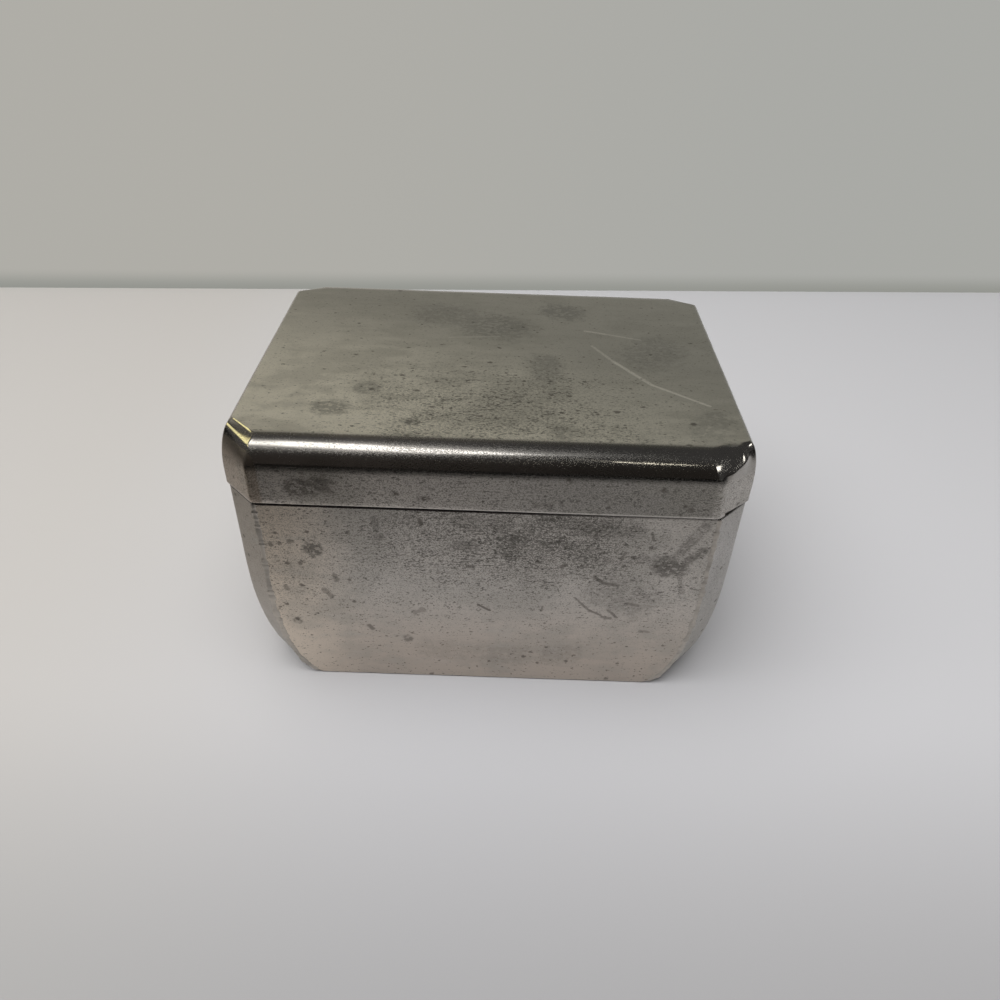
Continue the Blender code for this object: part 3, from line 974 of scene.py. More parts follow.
def new_material(name):
    """Material with its wiring helper, its metal shader and the position in millimetres."""
    material = bpy.data.materials.new(name)
    material.use_nodes = True
    g = Wiring(material.node_tree)
    shader = material.node_tree.nodes["Principled BSDF"]
    shader.inputs["Metallic"].default_value = 1.0
    return material, g, shader, g.millimetres()


def scattered(g, kind, place, size, share, stretch):
    """Mask of pits or flecks of about this size, crowded by share."""
    return g.group(kind, {"Position": place, "Size": size, "Share": share, "Stretch": stretch})[0]


def dulled(g, mott):
    """Mask of the metal that has dulled most, where clouds and smears meet."""
    return g.rise(g.plus(mott["Clouds"], g.times(mott["Smears"], 0.5)), 0.66, 0.92)


def bump(g, height, depth):
    """Normal bent by a height field that is depth metres deep."""
    return g.add("Bump", {"Height": height, "Distance": depth, "Strength": 1.0}).outputs[0]


def put_on(made, material):
    """Give a piece its one material."""
    made.data.materials.clear()
    made.data.materials.append(material)
    print("%-22s wears %s, %d nodes" % (made.name, material.name, len(material.node_tree.nodes)))


# %% [markdown]
# Stains, spots and scratches that can be told apart are strokes, set where they lie on the real box. Each
# row holds seven numbers, in millimetres on its face: where the stroke starts, where it ends, how far it
# reaches to each side and how ragged its edge is. The last one is its strength.

# %% Strokes on a face
TOP_FACE, FRONT_FACE = 60.6, -38


def on_top(x, y):
    """Point on the lid's top."""
    return x, y, TOP_FACE


def on_front(x, z):
    """Point on the front of the lid or the body."""
    return x, FRONT_FACE, z


def marked(g, place, marks, face):
    """Strongest of several strokes on a face."""
    total = 0.0
    for start_x, start_y, end_x, end_y, reach, ragged, strength in marks:
        ends = {"From": face(start_x, start_y), "To": face(end_x, end_y)}
        made = g.group(stroke, {"Position": place, "Reach": reach, "Ragged": ragged, **ends})[0]
        total = g.larger(total, g.times(made, strength))
    return total


# %% [markdown]
# The lid: its flat top is matt and olive with fine pits crowded at the front middle, its rolls are
# polished bright, and the skirt below them is satin again. The "rolled" value painted on the mesh tells
# the finish where the roll begins and ends.

# %% Marks on the lid
TOP_STAINS = [
    (-2, 15, 2, 14, 9, 5, 0.7), (-14, 20, -9, 19, 8, 5, 0.5), (15, 24, 17, 23, 6, 4, 0.8),
    (11, -2, 11, -9, 5, 3, 0.6), (-32, -24, -30, -24, 4, 2.5, 0.8), (-26, -16, -24, -16, 3, 2, 0.7),
    (-15, -28.5, -14, -28.5, 1.4, 0.6, 1.0), (13, -30, 13.6, -31, 3, 2, 0.6), (36, 5, 34, 2, 9, 6, 0.5),
    (44, -24, 41, -28, 5, 4, 0.5),
]
TOP_SCRATCHES = [
    (20.7, 13.7, 25, 12.5, 0.5, 0.2, 0.6), (25, 12.5, 33, 10, 0.4, 0.3, 0.4),
    (21.8, 6.1, 26, -1.2, 0.5, 0.2, 0.5), (26, -1.2, 32.9, -10.8, 0.6, 0.2, 0.8),
    (32.9, -10.8, 43.4, -18.6, 0.5, 0.2, 0.9), (-10, 8, 1, 9.5, 0.4, 0.3, 0.3),
]
SKIRT_STAINS = [
    (-36, 51.5, -30, 52.5, 3, 1.5, 0.8), (-17.5, 51, -16.8, 51, 0.8, 0.5, 1.0),
    (-12.8, 50, -11, 50.2, 0.9, 0.6, 1.0), (32.6, 54, 32.9, 53.7, 0.9, 0.5, 1.0),
    (37, 50.2, 38.2, 49.6, 1.0, 0.6, 0.8), (9, 49.4, 12, 49.6, 0.9, 0.8, 0.6),
    (14.7, 55.6, 15.2, 55, 0.7, 0.4, 0.9),
]
print("%d marks on the lid" % len(TOP_STAINS + TOP_SCRATCHES + SKIRT_STAINS))

# %% [markdown]
# A mask is a number from 0 to 1 that changes over the surface. The lid's masks say where its parts lie,
# where pits and flecks crowd, and where its own marks are. Colour, shine and relief all read the same
# masks, so that a pit is dark, rough and deep in the same place.

# %% Masks of the lid
lid_finish, g, shader, place = new_material("plated_lid")
rolled, inside = g.painted("rolled"), g.painted("inside")
x, y, z = g.parts(place)
mott = g.group(mottle, {"Position": place, "Shift": (7.0, 3.0, 1.0)})
flat = g.rise(rolled, 0.02, 0.14, 1.0, 0.0)
skirt = g.rise(rolled, 0.84, 0.88)

crowd = g.times(g.rise(y, 6, -22), g.rise(g.math("ABSOLUTE", g.plus(x, -2.0)), 42, 12))
crowd = g.times(crowd, g.rise(mott["Clouds"], 0.35, 0.6, 0.6, 1.0))
share = g.between(skirt, g.times(g.scaled(crowd, 0.32, 0.03), flat), 0.16)
fine_pits = scattered(g, pits, place, 0.55, share, 1.6)
share = g.between(skirt, g.times(g.scaled(crowd, 0.10, 0.02), flat), 0.06)
pitted = g.larger(fine_pits, scattered(g, pits, place, 1.2, share, 1.5))

fine = scattered(g, flecks, place, 0.18, g.between(skirt, g.scaled(crowd, 0.4, 0.2), 0.5), 1.8)
patch = g.rise(g.noise(place, 0.22, 3, 0.6), 0.42, 0.62)
dots = g.times(g.scaled(patch, 0.5, 0.5), g.between(skirt, g.scaled(crowd, 0.5, 0.02), 0.30))
coarse = scattered(g, flecks, place, 0.36, dots, 2.0)
broken = g.scaled(scattered(g, flecks, place, 0.9, 0.75, 1.3), 0.65, 0.35)
stains = g.times(marked(g, place, TOP_STAINS, on_top), broken)
skirt_stains = g.times(marked(g, place, SKIRT_STAINS, on_front), broken)
scratched = marked(g, place, TOP_SCRATCHES, on_top)
print("masks of the lid: %d nodes so far" % len(g.tree.nodes))

# %% [markdown]
# The top is painted lighter and warmer towards the front left and darker towards the back, a painted
# reflection of the light above, and its broad clouds shift that change here and there. The rolls darken
# towards the right. The corners at each side have a tone of their own, and the low part of those at the
# left belongs with the skirt.

# %% Colours of the lid
TOP_PAINTED_DARK, TOP_PAINTED_LIGHT = (0.41, 0.39, 0.34, 1), (0.86, 0.81, 0.69, 1)
ROLL_LEFT, ROLL_RIGHT = (0.56, 0.515, 0.465, 1), (0.35, 0.33, 0.30, 1)
CORNER_LEFT, CORNER_RIGHT = (0.48, 0.405, 0.335, 1), (0.50, 0.47, 0.43, 1)
LID_DULLED, LID_STAIN = (0.33, 0.315, 0.27, 1), (0.17, 0.165, 0.145, 1)
SCRATCH_PALE, LIP_PAINTED_HIGHLIGHT = (0.80, 0.76, 0.68, 1), (0.76, 0.72, 0.66, 1)

towards = g.scaled(y, -1.8, g.times(x, -0.8))
towards = g.plus(towards, g.times(g.minus(mott["Clouds"], 0.5), 60.0))
colour = g.blend(g.rise(towards, -35, 75), TOP_PAINTED_DARK, TOP_PAINTED_LIGHT)
colour = g.blend(flat, g.blend(g.rise(x, -30, 25), ROLL_LEFT, ROLL_RIGHT), colour)

on_corner = g.rise(g.plus(g.math("ABSOLUTE", x), g.math("ABSOLUTE", y)), 80.4, 81.2)
at_left = g.rise(x, 0, -1)
low_corner = g.times(on_corner, g.rise(z, 59.0, 58.0))
skirt = g.larger(skirt, g.times(low_corner, at_left))
polished = g.minus(1.0, g.larger(flat, skirt))
colour = g.tint(colour, g.minus(1.0, flat), g.times(on_corner, at_left), CORNER_LEFT)
colour = g.tint(colour, skirt, g.times(on_corner, g.rise(x, 0, 1)), CORNER_RIGHT)

for mask, strength, tone in ((dulled(g, mott), 0.4, LID_DULLED), (stains, 0.65, LID_STAIN),
                             (skirt_stains, 0.85, PIT_BROWN), (scratched, 0.75, SCRATCH_PALE),
                             (pitted, 0.6, PIT_BROWN)):
    colour = g.tint(colour, mask, strength, tone)
peppered = g.between(skirt, g.between(flat, 0.4, g.scaled(crowd, 0.15, 0.2)), 0.55)
colour = g.tint(colour, fine, peppered, FLECK_DARK)
colour = g.tint(colour, coarse, g.between(polished, 0.55, 0.2), FLECK_DARK)

# A pale line on the lid's rounded lower edge is a painted highlight, with some burnish, stronger towards the
# right.
edge = g.times(g.rise(z, SEAM + 0.80, SEAM + 0.65), g.rise(z, SEAM + 0.40, SEAM + 0.52))
edge = g.times(edge, g.rise(g.math("ABSOLUTE", x), 44, 42))
colour = g.tint(colour, edge, g.rise(x, -50, 20, 0.12, 0.45), LIP_PAINTED_HIGHLIGHT)
# The underside of the lid's lip is painted near black: painted shade in the seam, with some grime.
colour = g.blend(g.rise(z, SEAM + 0.45, SEAM + 0.30), colour, SEAM_SHADE_AND_GRIME)
g.link(g.blend(inside, colour, INSIDE_GREY), shader.inputs["Base Color"])

# %% [markdown]
# The roughness sets how blurred the metal's mirror is, and a fine relief bends it: the grain stands up on
# the matt parts and the pits sink in. The relief stays low on the rolls, because they mirror narrow bright
# panels, and a deeper one would break up the line of light.

# %% Roughness and relief of the lid
INSIDE_ROUGH = 0.34

rough = g.between(polished, g.between(skirt, 0.40, 0.32), 0.12)
rough = g.plus(rough, g.times(g.minus(mott["Smears"], 0.5), 0.15))
rough = g.plus(rough, g.times(pitted, 0.15))
fine_on_roll = g.times(fine, polished)
rough = g.plus(rough, g.times(fine_on_roll, 0.16))
g.link(g.between(inside, rough, INSIDE_ROUGH), shader.inputs["Roughness"])
height = g.minus(g.times(mott["Grain"], g.between(polished, 0.36, 0.05)), g.times(pitted, 0.8))
height = g.minus(height, g.times(fine_on_roll, 0.13))
g.link(bump(g, height, GRAIN_DEPTH), shader.inputs["Normal"])
put_on(lid, lid_finish)

# %% [markdown]
# The front plate carries the most wear: pits crowd its upper middle, dark smears and small rings lie at
# the right, and the lower half is smoother and warmer.

# %% Marks on the front
FRONT_STAINS = [
    (35.2, 35.4, 38.0, 34.6, 3.2, 1.4, 1.0), (37, 36.5, 41.7, 45.2, 1.7, 0.8, 0.65),
    (34.8, 33.6, 36.2, 33.4, 1.8, 0.9, 0.9), (38, 35, 42.5, 39.5, 1.5, 0.6, 0.8),
    (24, 36.2, 34, 36.8, 1.5, 1.2, 0.35), (18, 43.5, 29, 44.3, 2.6, 1.6, 0.45),
    (-21.5, 44.5, -21, 40, 1.2, 0.8, 0.55), (-5, 45, 3, 44, 3.0, 2.2, 0.35),
    (-39.8, 16.2, -39.2, 16, 1.1, 0.5, 0.75), (14, 8, 19, 9, 4.0, 3.0, 0.25),
    (-12, 9, 8, 8, 4.0, 3.0, 0.22), (-34.8, 36.7, -33.6, 36.2, 2.1, 1.9, 1.0),
    (-34.6, 34.9, -34.4, 34.6, 0.8, 0.9, 0.8), (-16.4, 12.2, -16.0, 11.6, 1.2, 1.1, 0.8),
    (-6, 38.5, -2, 39, 1.6, 1.6, 0.6), (30.5, 28.0, 32.5, 26.0, 0.9, 0.9, 0.6),
    (25, 28, 31, 25, 7.0, 4.5, 0.4),
]
FRONT_SPOTS = [
    (-12.8, 44.5, -12.6, 43.7, 0.7, 0.3, 0.9), (15.2, 34.0, 15.8, 34.4, 0.7, 0.2, 0.9),
    (18.6, 34.0, 19.2, 34.3, 0.6, 0.3, 0.6), (23.2, 38.0, 23.2, 38.1, 0.45, 0.15, 1.0),
    (-1.4, 22.8, 0.2, 21.7, 0.35, 0.2, 0.95), (0.2, 21.7, 1.1, 21.2, 0.35, 0.2, 0.95),
    (22.0, 31.6, 23.8, 30.0, 0.5, 0.4, 0.8), (23.8, 30.0, 26.9, 29.4, 0.6, 0.4, 0.7),
    (18.5, 25.6, 21.5, 22.4, 0.45, 0.4, 0.7), (21.5, 22.4, 24.2, 20.9, 0.45, 0.4, 0.8),
    (24.6, 20.4, 26.4, 20.0, 0.5, 0.4, 0.7), (25.6, 22.4, 27.6, 20.4, 0.45, 0.3, 0.7),
    (29.0, 24.5, 31.5, 24.0, 0.6, 0.4, 0.6), (31.9, 43.5, 32.4, 41.6, 0.4, 0.2, 0.7),
    (26.8, 36.8, 27.4, 38.2, 0.5, 0.3, 0.5), (-3.4, 33.1, -2.6, 33.2, 0.6, 0.4, 0.8),
    (-24.4, 15.4, -23.8, 14.6, 0.8, 0.5, 0.8), (3.1, 27.7, 3.4, 27.7, 0.4, 0.2, 0.8),
    (12.0, 22.8, 11.8, 21.6, 0.35, 0.2, 0.7), (-14.6, 20, -13.0, 20.8, 1.0, 1.2, 0.5),
    (-42.4, 37.4, -42.3, 37.2, 0.7, 0.4, 0.8), (-40.6, 37.6, -40.5, 37.5, 0.6, 0.4, 0.8),
    (-38.6, 38.2, -38.1, 38.2, 0.7, 0.4, 0.7), (-41.2, 40.3, -41.1, 40.2, 0.6, 0.4, 0.8),
    (-40.8, 26.0, -40.6, 25.4, 0.8, 0.5, 0.6), (-37.2, 32.6, -37.1, 32.5, 0.6, 0.4, 0.8),
    (-37.6, 26.6, -37.4, 26.5, 0.6, 0.4, 0.8), (-30.5, 29.6, -30.2, 28.4, 0.9, 0.7, 0.6),
    (-33.0, 25.5, -31.6, 23.6, 0.8, 0.8, 0.6), (-27.6, 28.6, -27.5, 28.4, 0.5, 0.3, 0.8),
    (39.0, 32.0, 39.8, 28.0, 0.8, 0.9, 0.4), (33, 16.5, 35, 16.3, 0.5, 0.4, 0.5),
]
print("%d marks on the front" % len(FRONT_STAINS + FRONT_SPOTS))

# %% [markdown]
# The three sheets of the body share one recipe, so they age alike, and differ in the shift of their
# patterns, their marks and their three clean colours: cool above, warm below and another at the far left.

# %% Finish of the body
BODY_DULLED, BODY_PALE, BODY_STAIN = (0.34, 0.325, 0.29, 1), (0.62, 0.59, 0.54, 1), (0.14, 0.13, 0.115, 1)


def body_wear(g, place, x, z, clouds):
    """Masks of a sheet's wear: how crowded its pits are, how worn it is, pits, fine and coarse flecks."""
    middle = g.rise(g.math("ABSOLUTE", g.plus(x, -3.0)), 34, 10)
    crowd = g.times(g.times(g.rise(z, 24, 40), middle), g.rise(clouds, 0.3, 0.6, 0.5, 1.0))
    worn = g.rise(z, 2, 32)
    fine_pits = scattered(g, pits, place, 0.5, g.scaled(crowd, 0.45, 0.05), 1.4)
    small_pits = scattered(g, pits, place, 1.2, g.scaled(g.rise(clouds, 0.5, 0.65), 0.06, 0.015), 1.3)
    fine = scattered(g, flecks, place, 0.18, g.scaled(crowd, 0.3, g.scaled(worn, 0.3, 0.1)), 1.7)
    patch = g.rise(g.noise(place, 0.22, 3, 0.6), 0.42, 0.62)
    dots = g.times(g.scaled(patch, 0.6, 0.4), g.scaled(crowd, 0.4, g.scaled(worn, 0.2, 0.03)))
    coarse = scattered(g, flecks, place, 0.36, dots, 1.9)
    return crowd, worn, g.larger(fine_pits, small_pits), fine, coarse


def body_finish(name, shift, stain_marks, spot_marks, cool, warmed, leftmost):
    """The plated recipe for a sheet of the body, with its own shift, marks and colours of clean metal."""
    material, g, shader, place = new_material(name)
    inside = g.painted("inside")
    x, y, z = g.parts(place)
    mott = g.group(mottle, {"Position": place, "Shift": shift})
    crowd, worn, pitted, fine, coarse = body_wear(g, place, x, z, mott["Clouds"])
    lines = g.group(hairlines, {"Position": place})[0]

    colour = g.blend(g.rise(z, 30, 6), cool, warmed)
    colour = g.blend(g.rise(x, -22, -44), colour, leftmost)
    colour = g.tint(colour, dulled(g, mott), 0.4, BODY_DULLED)
    colour = g.tint(colour, g.rise(mott["Smears"], 0.55, 0.75), 0.25, BODY_PALE)
    if stain_marks:
        broken = g.scaled(scattered(g, flecks, place, 0.8, 0.75, 1.3), 0.6, 0.4)
        stains = g.times(marked(g, place, stain_marks, on_front), broken)
        colour = g.tint(colour, stains, 0.8, BODY_STAIN)
        colour = g.tint(colour, marked(g, place, spot_marks, on_front), 0.8, PIT_BROWN)
    colour = g.tint(colour, pitted, 0.6, PIT_BROWN)
    colour = g.tint(colour, fine, g.scaled(crowd, 0.25, g.scaled(worn, 0.3, 0.15)), FLECK_DARK)
    colour = g.tint(colour, coarse, 0.65, FLECK_DARK)
    colour = g.tint(colour, lines, g.scaled(crowd, 0.5, g.rise(z, 36, 46, 0.1, 0.35)), FLECK_DARK)
    # A dark line painted along the mouth's top edge is painted shade in the seam, with some grime, weaker
    # towards the right where the seam narrows.
    ragged = g.times(g.minus(mott["Grain"], 0.5), 0.3)
    seam_shade_and_grime = g.rise(g.plus(z, ragged), SEAM - 0.42, SEAM - 0.28)
    colour = g.tint(colour, seam_shade_and_grime, g.rise(x, 0, 44, 1.0, 0.35), SEAM_SHADE_AND_GRIME)
    g.link(g.blend(inside, colour, INSIDE_GREY), shader.inputs["Base Color"])

    rough = g.plus(0.34, g.times(g.minus(mott["Smears"], 0.5), 0.2))
    rough = g.plus(rough, g.times(pitted, 0.15))
    g.link(g.between(inside, rough, INSIDE_ROUGH), shader.inputs["Roughness"])
    height = g.minus(g.times(mott["Grain"], 0.28), g.times(pitted, 0.8))
    g.link(bump(g, g.minus(height, g.times(lines, 0.15)), GRAIN_DEPTH), shader.inputs["Normal"])
    return material


# %% The body's three sheets
CLEAN_COOL, CLEAN_WARM, CLEAN_LEFT = (0.54, 0.505, 0.46, 1), (0.53, 0.465, 0.40, 1), (0.67, 0.585, 0.49, 1)
BAND_COOL, BAND_WARM, BAND_LEFT = (0.45, 0.43, 0.405, 1), (0.52, 0.49, 0.44, 1), (0.33, 0.29, 0.245, 1)

front_colours, back_colours = (CLEAN_COOL, CLEAN_WARM, CLEAN_LEFT), (CLEAN_COOL, CLEAN_WARM, CLEAN_WARM)
front_finish = body_finish("plated_front", (0.0, 0.0, 0.0), FRONT_STAINS, FRONT_SPOTS, *front_colours)
put_on(plates[0], front_finish)
put_on(plates[1], body_finish("plated_back", (31.0, 17.0, 9.0), [], [], *back_colours))
put_on(band, body_finish("plated_band", (13.0, 41.0, 5.0), [], [], BAND_COOL, BAND_WARM, BAND_LEFT))

# %% [markdown]
# Solder is softer and brighter than the plating, with a hammered, grainy skin. The inner metal keeps
# more of its shine because nothing rubs it, and the hinge is darker where old polish has gathered.

# %% Finishes of the solder, the inner metal and the hinge
def plain_metal(name, colour, worn, roughness, grain_depth, shift):
    """Metal between two colours by the mottle's smears, with a grainy bump."""
    material, g, shader, place = new_material(name)
    mott = g.group(mottle, {"Position": place, "Shift": shift})
    speck = scattered(g, pits, place, 0.8, 0.16, 1.4)
    mixed = g.blend(g.rise(mott["Smears"], 0.4, 0.65), colour, worn)
    mixed = g.blend(g.times(speck, 0.2), mixed, PIT_BROWN)
    g.link(mixed, shader.inputs["Base Color"])
    rough = g.plus(roughness, g.times(g.minus(mott["Clouds"], 0.5), 0.2))
    g.link(rough, shader.inputs["Roughness"])
    height = g.minus(mott["Grain"], g.times(speck, 0.2))
    g.link(bump(g, height, grain_depth), shader.inputs["Normal"])
    return material


SOLDER_BRIGHT, SOLDER_WORN = (0.49, 0.45, 0.40, 1), (0.36, 0.335, 0.30, 1)
INNER_BRIGHT, INNER_WORN = (0.54, 0.52, 0.48, 1), (0.44, 0.42, 0.38, 1)
HINGE_BRIGHT, HINGE_WORN = (0.46, 0.43, 0.38, 1), (0.30, 0.275, 0.24, 1)

solder_finish = plain_metal("solder", SOLDER_BRIGHT, SOLDER_WORN, 0.36, 0.03 * MM, (3.0, 8.0, 2.0))
inner_finish = plain_metal("inner_metal", INNER_BRIGHT, INNER_WORN, 0.30, 0.01 * MM, (5.0, 1.0, 9.0))
hinge_finish = plain_metal("hinge_metal", HINGE_BRIGHT, HINGE_WORN, 0.32, 0.012 * MM, (8.0, 6.0, 4.0))
for pieces, finish in ((beads, solder_finish), ([rim_piece] + bars, inner_finish), (knuckles, hinge_finish)):
    for made in pieces:
        put_on(made, finish)

# %% [markdown]
# The camera stands where the photograph was taken from, about 19 cm from the middle of the box, and looks
# down at the lid. Its place, tilt and focal length were fitted to points measured on the box's edges.

# %% The camera
CAMERA_PLACE = np.array([0.0246, -1.5545, 1.387]) * LID_WIDTH
CAMERA_PITCH = math.radians(37.153)
CAMERA_ROLL = math.radians(2.107)
CAMERA_YAW = math.radians(-0.186)
FOCAL_PIXELS = 808.6
PICTURE_PIXELS = 1000


def turned(vector, yaw):
    """Vector turned by yaw about Z."""
    x, y, z = vector
    return np.array([x * math.cos(yaw) - y * math.sin(yaw), x * math.sin(yaw) + y * math.cos(yaw), z])


def add_camera():
    """Camera at the measured place, looking down by the pitch and rolled about its own axis."""
    right = np.array([1.0, 0, 0])
    up = np.array([0, math.sin(CAMERA_PITCH), math.cos(CAMERA_PITCH)])
    ahead = np.array([0, math.cos(CAMERA_PITCH), -math.sin(CAMERA_PITCH)])
    across = math.cos(CAMERA_ROLL) * right + math.sin(CAMERA_ROLL) * up
    upward = -math.sin(CAMERA_ROLL) * right + math.cos(CAMERA_ROLL) * up
    matrix = np.eye(4)
    for column, axis in enumerate((across, upward, -ahead)):
        matrix[:3, column] = turned(axis, CAMERA_YAW)
    matrix[:3, 3] = turned(CAMERA_PLACE, CAMERA_YAW)
    data = bpy.data.cameras.new("camera")
    data.sensor_fit, data.sensor_width = "HORIZONTAL", 36
    data.lens = FOCAL_PIXELS / PICTURE_PIXELS * data.sensor_width
    data.clip_start = 0.005
    camera = bpy.data.objects.new("camera", data)
    camera.matrix_world = matrix.T.tolist()
    bpy.context.scene.collection.objects.link(camera)
    bpy.context.scene.camera = camera
    return camera


camera = add_camera()
print("camera %.0f mm from the middle of the box, with a lens of %.1f mm" % (
    np.linalg.norm(CAMERA_PLACE - (0, 0, TOP / 2)) / MM, camera.data.lens))

# %% [markdown]
# The box stands on a pale table before a pale wall. The table is lit by the lamp and keeps the box's
# shadow; far from the box it is given its colour outright, so that every view has a pale background. Its
# colour holds a painted shadow that darkens it towards the front, and painted warm light at the left. The
# metal alone sees that painted shadow deepen towards the front left and the sides. The wall is a soft panel
# of its own colour, and it lets through any view from behind it.

# %% The table
FLOOR_HALF = 3.0
TABLE_FRONT_SHADOWED, TABLE_BACK = (0.40, 0.395, 0.40, 1), (0.60, 0.595, 0.61, 1)
TABLE_FRONT_LEFT_SHADOWED_WARM, TABLE_BACK_LEFT_WARM_LIGHT = (0.42, 0.41, 0.395, 1), (0.562, 0.54, 0.515, 1)
FAR_PALE = (0.56, 0.555, 0.55, 1)


def card(name, corners):
    """Flat stage piece with four corners."""
    mesh = bpy.data.meshes.new(name)
    mesh.from_pydata(corners, [], [(0, 1, 2, 3)])
    made = bpy.data.objects.new(name, mesh)
    bpy.context.scene.collection.objects.link(made)
    return made


def rectangle(x, y):
    """Corners of a level rectangle round the origin, from half its width and half its depth."""
    return [(-x, -y, 0), (x, -y, 0), (x, y, 0), (-x, y, 0)]


def stage_material(name):
    """Empty material with its wiring helper and the position in millimetres."""
    material = bpy.data.materials.new(name)
    material.use_nodes = True
    g = Wiring(material.node_tree)
    g.tree.nodes.clear()
    return material, g, g.millimetres()


floor = card("table", rectangle(FLOOR_HALF, FLOOR_HALF))
material, g, place = stage_material("table")
x, y, z = g.parts(place)
# Painted shadow darkens the table towards the front, and painted warm light tints its left.
back = g.rise(y, -115, -40)
colour = g.blend(back, TABLE_FRONT_SHADOWED, TABLE_BACK)
colour = g.blend(g.rise(x, 0, -130), colour, g.blend(back, TABLE_FRONT_LEFT_SHADOWED_WARM, TABLE_BACK_LEFT_WARM_LIGHT))
path = g.add("LightPath", {}).outputs
# Seen by the metal only: a painted shadow, darker towards the front left and both sides.
near_end = g.plus(y, g.times(x, 0.8))
mirrored_shadow = g.rise(near_end, -215, -85, 0.04, 1.0)
mirrored_shadow = g.times(mirrored_shadow, g.rise(x, 200, 300, 1.0, 0.12))
mirrored_shadow = g.times(mirrored_shadow, g.rise(x, -60, -150, 1.0, 0.8))
mirrored_shadow = g.between(path["Is Glossy Ray"], 1.0, mirrored_shadow)
grey = g.add("CombineColor", {"Red": mirrored_shadow, "Green": mirrored_shadow, "Blue": mirrored_shadow}).outputs[0]
colour = g.add("Mix", {0: 1.0, 6: colour, 7: grey}, data_type="RGBA", blend_type="MULTIPLY").outputs[2]
diffuse = g.add("BsdfDiffuse", {"Color": colour}).outputs[0]
far = g.rise(g.vector("LENGTH", place, out=1), 260, 520)
glow = g.add("Emission", {"Color": FAR_PALE, "Strength": 1.0}).outputs[0]
seen = g.times(path["Is Camera Ray"], far)
mixed = g.add("MixShader", {0: seen, 1: diffuse, 2: glow}).outputs[0]
g.link(mixed, g.add("OutputMaterial", {}).inputs[0])
put_on(floor, material)

# %% [markdown]
# The wall stands a little way behind the box and is turned by a few degrees, as in the photograph. It
# glows in its own colour instead of being lit, which keeps it even, and the metal sees it fade high up.

# %% The wall
WALL_Y = 0.1812
WALL_TURN = math.radians(4.35)
WALL_HEIGHT = 0.50
WALL_HALF = 0.75
WALL_LEFT, WALL_RIGHT, WALL_FOOT_SHADE = (0.43, 0.42, 0.387, 1), (0.40, 0.402, 0.38, 1), (0.30, 0.305, 0.28, 1)

dx, dy = WALL_HALF * math.cos(WALL_TURN), WALL_HALF * math.sin(WALL_TURN)
left, right = (-dx, WALL_Y - dy), (dx, WALL_Y + dy)
wall = card("wall", [(*left, 0), (*right, 0), (*right, WALL_HEIGHT), (*left, WALL_HEIGHT)])
material, g, place = stage_material("wall")
x, y, z = g.parts(place)
colour = g.blend(g.rise(x, -150, 150), WALL_LEFT, WALL_RIGHT)
# Painted shade: the wall darkens at its foot, where it meets the table.
colour = g.blend(g.rise(z, 0, 9), WALL_FOOT_SHADE, colour)
mirrored = g.rise(z, 235, 320, 1.0, 0.25)
level = g.between(g.add("LightPath", {}).outputs["Is Glossy Ray"], 1.0, mirrored)
glow = g.add("Emission", {"Color": colour, "Strength": level}).outputs[0]
behind = g.add("NewGeometry", {}).outputs["Backfacing"]
through = g.add("BsdfTransparent", {}).outputs[0]
mixed = g.add("MixShader", {0: behind, 1: glow, 2: through}).outputs[0]
g.link(mixed, g.add("OutputMaterial", {}).inputs[0])
put_on(wall, material)

# %% [markdown]
# One large, soft lamp high on the left lights the scene. It stays out of the metal's reflections, because
# the shapes that the metal mirrors are made one by one in the next step.

# %% The lamp
def aim(made, place, target, turn, front):
    """Set an object at a place with its front axis towards the target, turned about its own Z."""
    look = (Vector(target) - Vector(place)).to_track_quat(front, "Y")
    made.location = place
    made.rotation_euler = (look.to_matrix() @ Matrix.Rotation(turn, 3, "Z")).to_euler()


def lamp(name, place, target, side, radiance):
    """Square lamp of a given radiance: its power is radiance times pi times its area."""
    data = bpy.data.lights.new(name, "AREA")
    data.shape, data.size, data.size_y = "RECTANGLE", side, side
    data.energy = radiance * math.pi * side * side
    made = bpy.data.objects.new(name, data)
    bpy.context.scene.collection.objects.link(made)
    aim(made, place, target, 0.0, "-Z")
    print("%s: %.1f W" % (name, data.energy))
    return made


key = lamp("soft key", (-0.22, -0.22, 0.93), (0, 0, 0), 1.1, 3.35)
key.visible_glossy = False

# %% [markdown]
# Metal shows what stands round it. Each card below is a glowing panel that only the metal mirrors, placed
# by turning the line of sight over at the spot that should shine. A long and a short tube draw the bright
# line along the front roll, the window warms the left side, and two small panes light the ridge of the
# pressed left corner and the mitre at the right. A real tube is brightest along its middle, so a panel's
# strength rises and falls across it, and a wide weak panel can lie behind a narrow strong one.

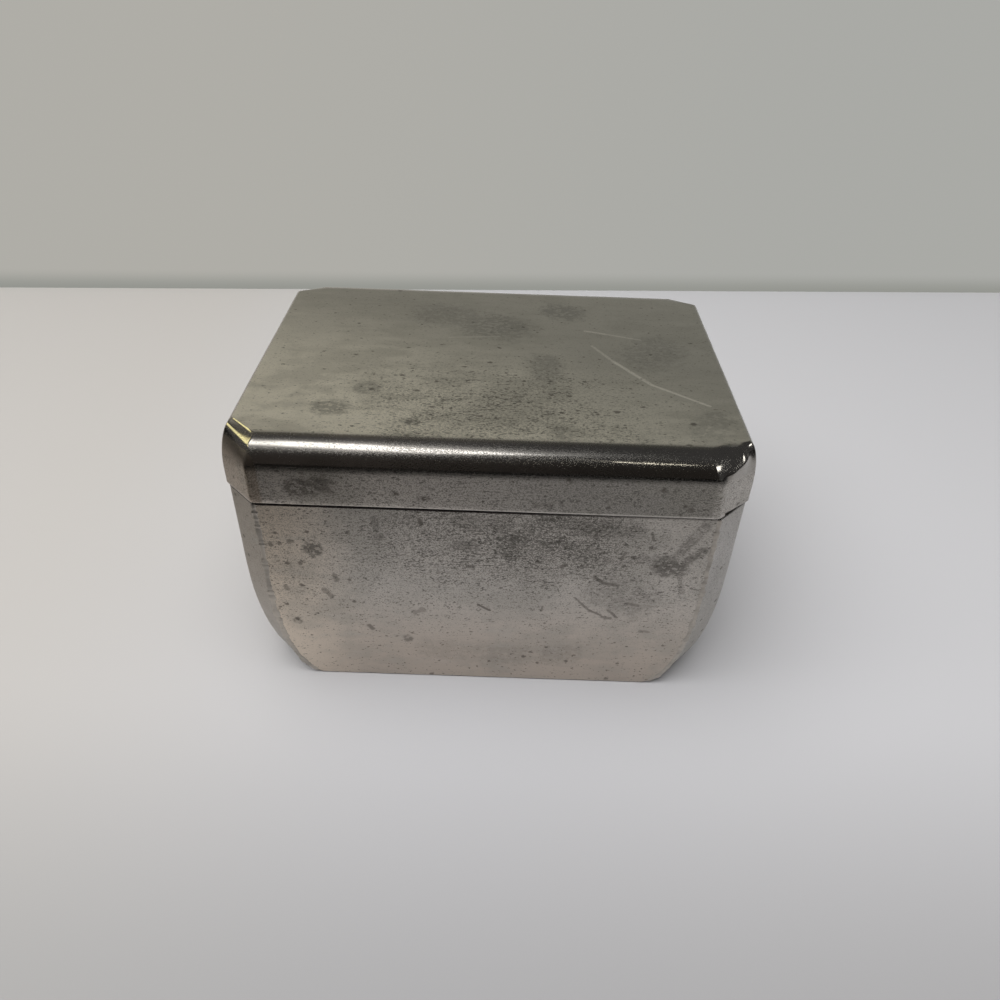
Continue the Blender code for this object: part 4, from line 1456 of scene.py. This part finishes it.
# %% Cards that the metal mirrors
def light_card(name, centre, target, size, turn, colour, *panels):
    """Card whose glow is the sum of soft-edged panels.

    Each panel is its strength and (dark, full, full, dark) along x and along y, in millimetres.
    """
    made = card(name, rectangle(size[0] / 2, size[1] / 2))
    aim(made, centre, target, turn, "Z")
    made.visible_camera = made.visible_diffuse = made.visible_shadow = False
    material, g, place = stage_material(name)
    x, y, z = g.parts(place)
    total = 0.0
    for strength, along, across in panels:
        level = strength
        for value, (a, b, c, d) in ((x, along), (y, across)):
            level = g.times(level, g.times(g.rise(value, a, b), g.rise(value, c, d, 1.0, 0.0)))
        total = g.plus(total, level)
    light = g.add("Emission", {"Color": colour, "Strength": total}).outputs[0]
    clear = g.add("BsdfTransparent", {}).outputs[0]
    g.link(g.add("AddShader", {0: light, 1: clear}).outputs[0], g.add("OutputMaterial", {}).inputs[0])
    put_on(made, material)


light_card("long tube", (-0.095, -0.150, 0.52), (-0.095, -0.150, 1.0), (0.54, 0.70), math.radians(-42),
           (0.98, 1, 1.02, 1), (2.7, (-150, -120, 70, 165), (-80, -35, 25, 130)),
           (0.42, (-170, -120, 80, 260), (-190, -40, 40, 320)))
light_card("short tube", (0.118, -0.330, 0.42), (0.118, -0.330, 1.0), (0.20, 0.06), math.radians(-40),
           (1, 0.97, 0.86, 1), (7.0, (-36, -30, 22, 50), (-9, -5, 5, 9)))
light_card("warm window", (-0.40, 0.095, 0.27), (-0.046, -0.033, 0.06), (0.24, 0.24), 0.0,
           (1, 0.94, 0.5, 1), (1.7, (-95, -70, 70, 95), (-95, -70, 70, 95)))
light_card("left pane", (-0.307, -0.138, 0.384), (-0.0435, -0.036, 0.0595), (0.10, 0.20), 0.0,
           (1, 0.94, 0.55, 1), (3.0, (-40, -25, 25, 40), (-90, -75, 75, 90)))
light_card("right pane", (0.4245, -0.1245, 0.2615), (0.0435, -0.0365, 0.059), (0.16, 0.16), 0.0,
           (1, 1, 0.97, 1), (5.0, (-44, -32, 32, 44), (-52, -38, 38, 52)))

# %% [markdown]
# The world is a dim room, a little lighter behind the box than before it, so that the metal keeps its
# dark parts. The camera alone sees a pale backdrop in its place.

# %% The room
ROOM_FRONT, ROOM_BACK = (0.036, 0.032, 0.030, 1), (0.085, 0.085, 0.088, 1)
BACKDROP = (0.43, 0.425, 0.41, 1)

world = bpy.data.worlds.new("room")
bpy.context.scene.world = world
world.use_nodes = True
g = Wiring(world.node_tree)
background = world.node_tree.nodes["Background"]
seen = g.add("LightPath", {}).outputs["Is Camera Ray"]
towards = g.parts(g.add("TexCoord", {}).outputs["Generated"])["Y"]
room = g.blend(g.rise(towards, -0.95, -0.3), ROOM_FRONT, ROOM_BACK)
g.link(g.blend(seen, room, BACKDROP), background.inputs["Color"])
bpy.context.scene.view_settings.view_transform = "Standard"
print("room: %d nodes" % len(world.node_tree.nodes))
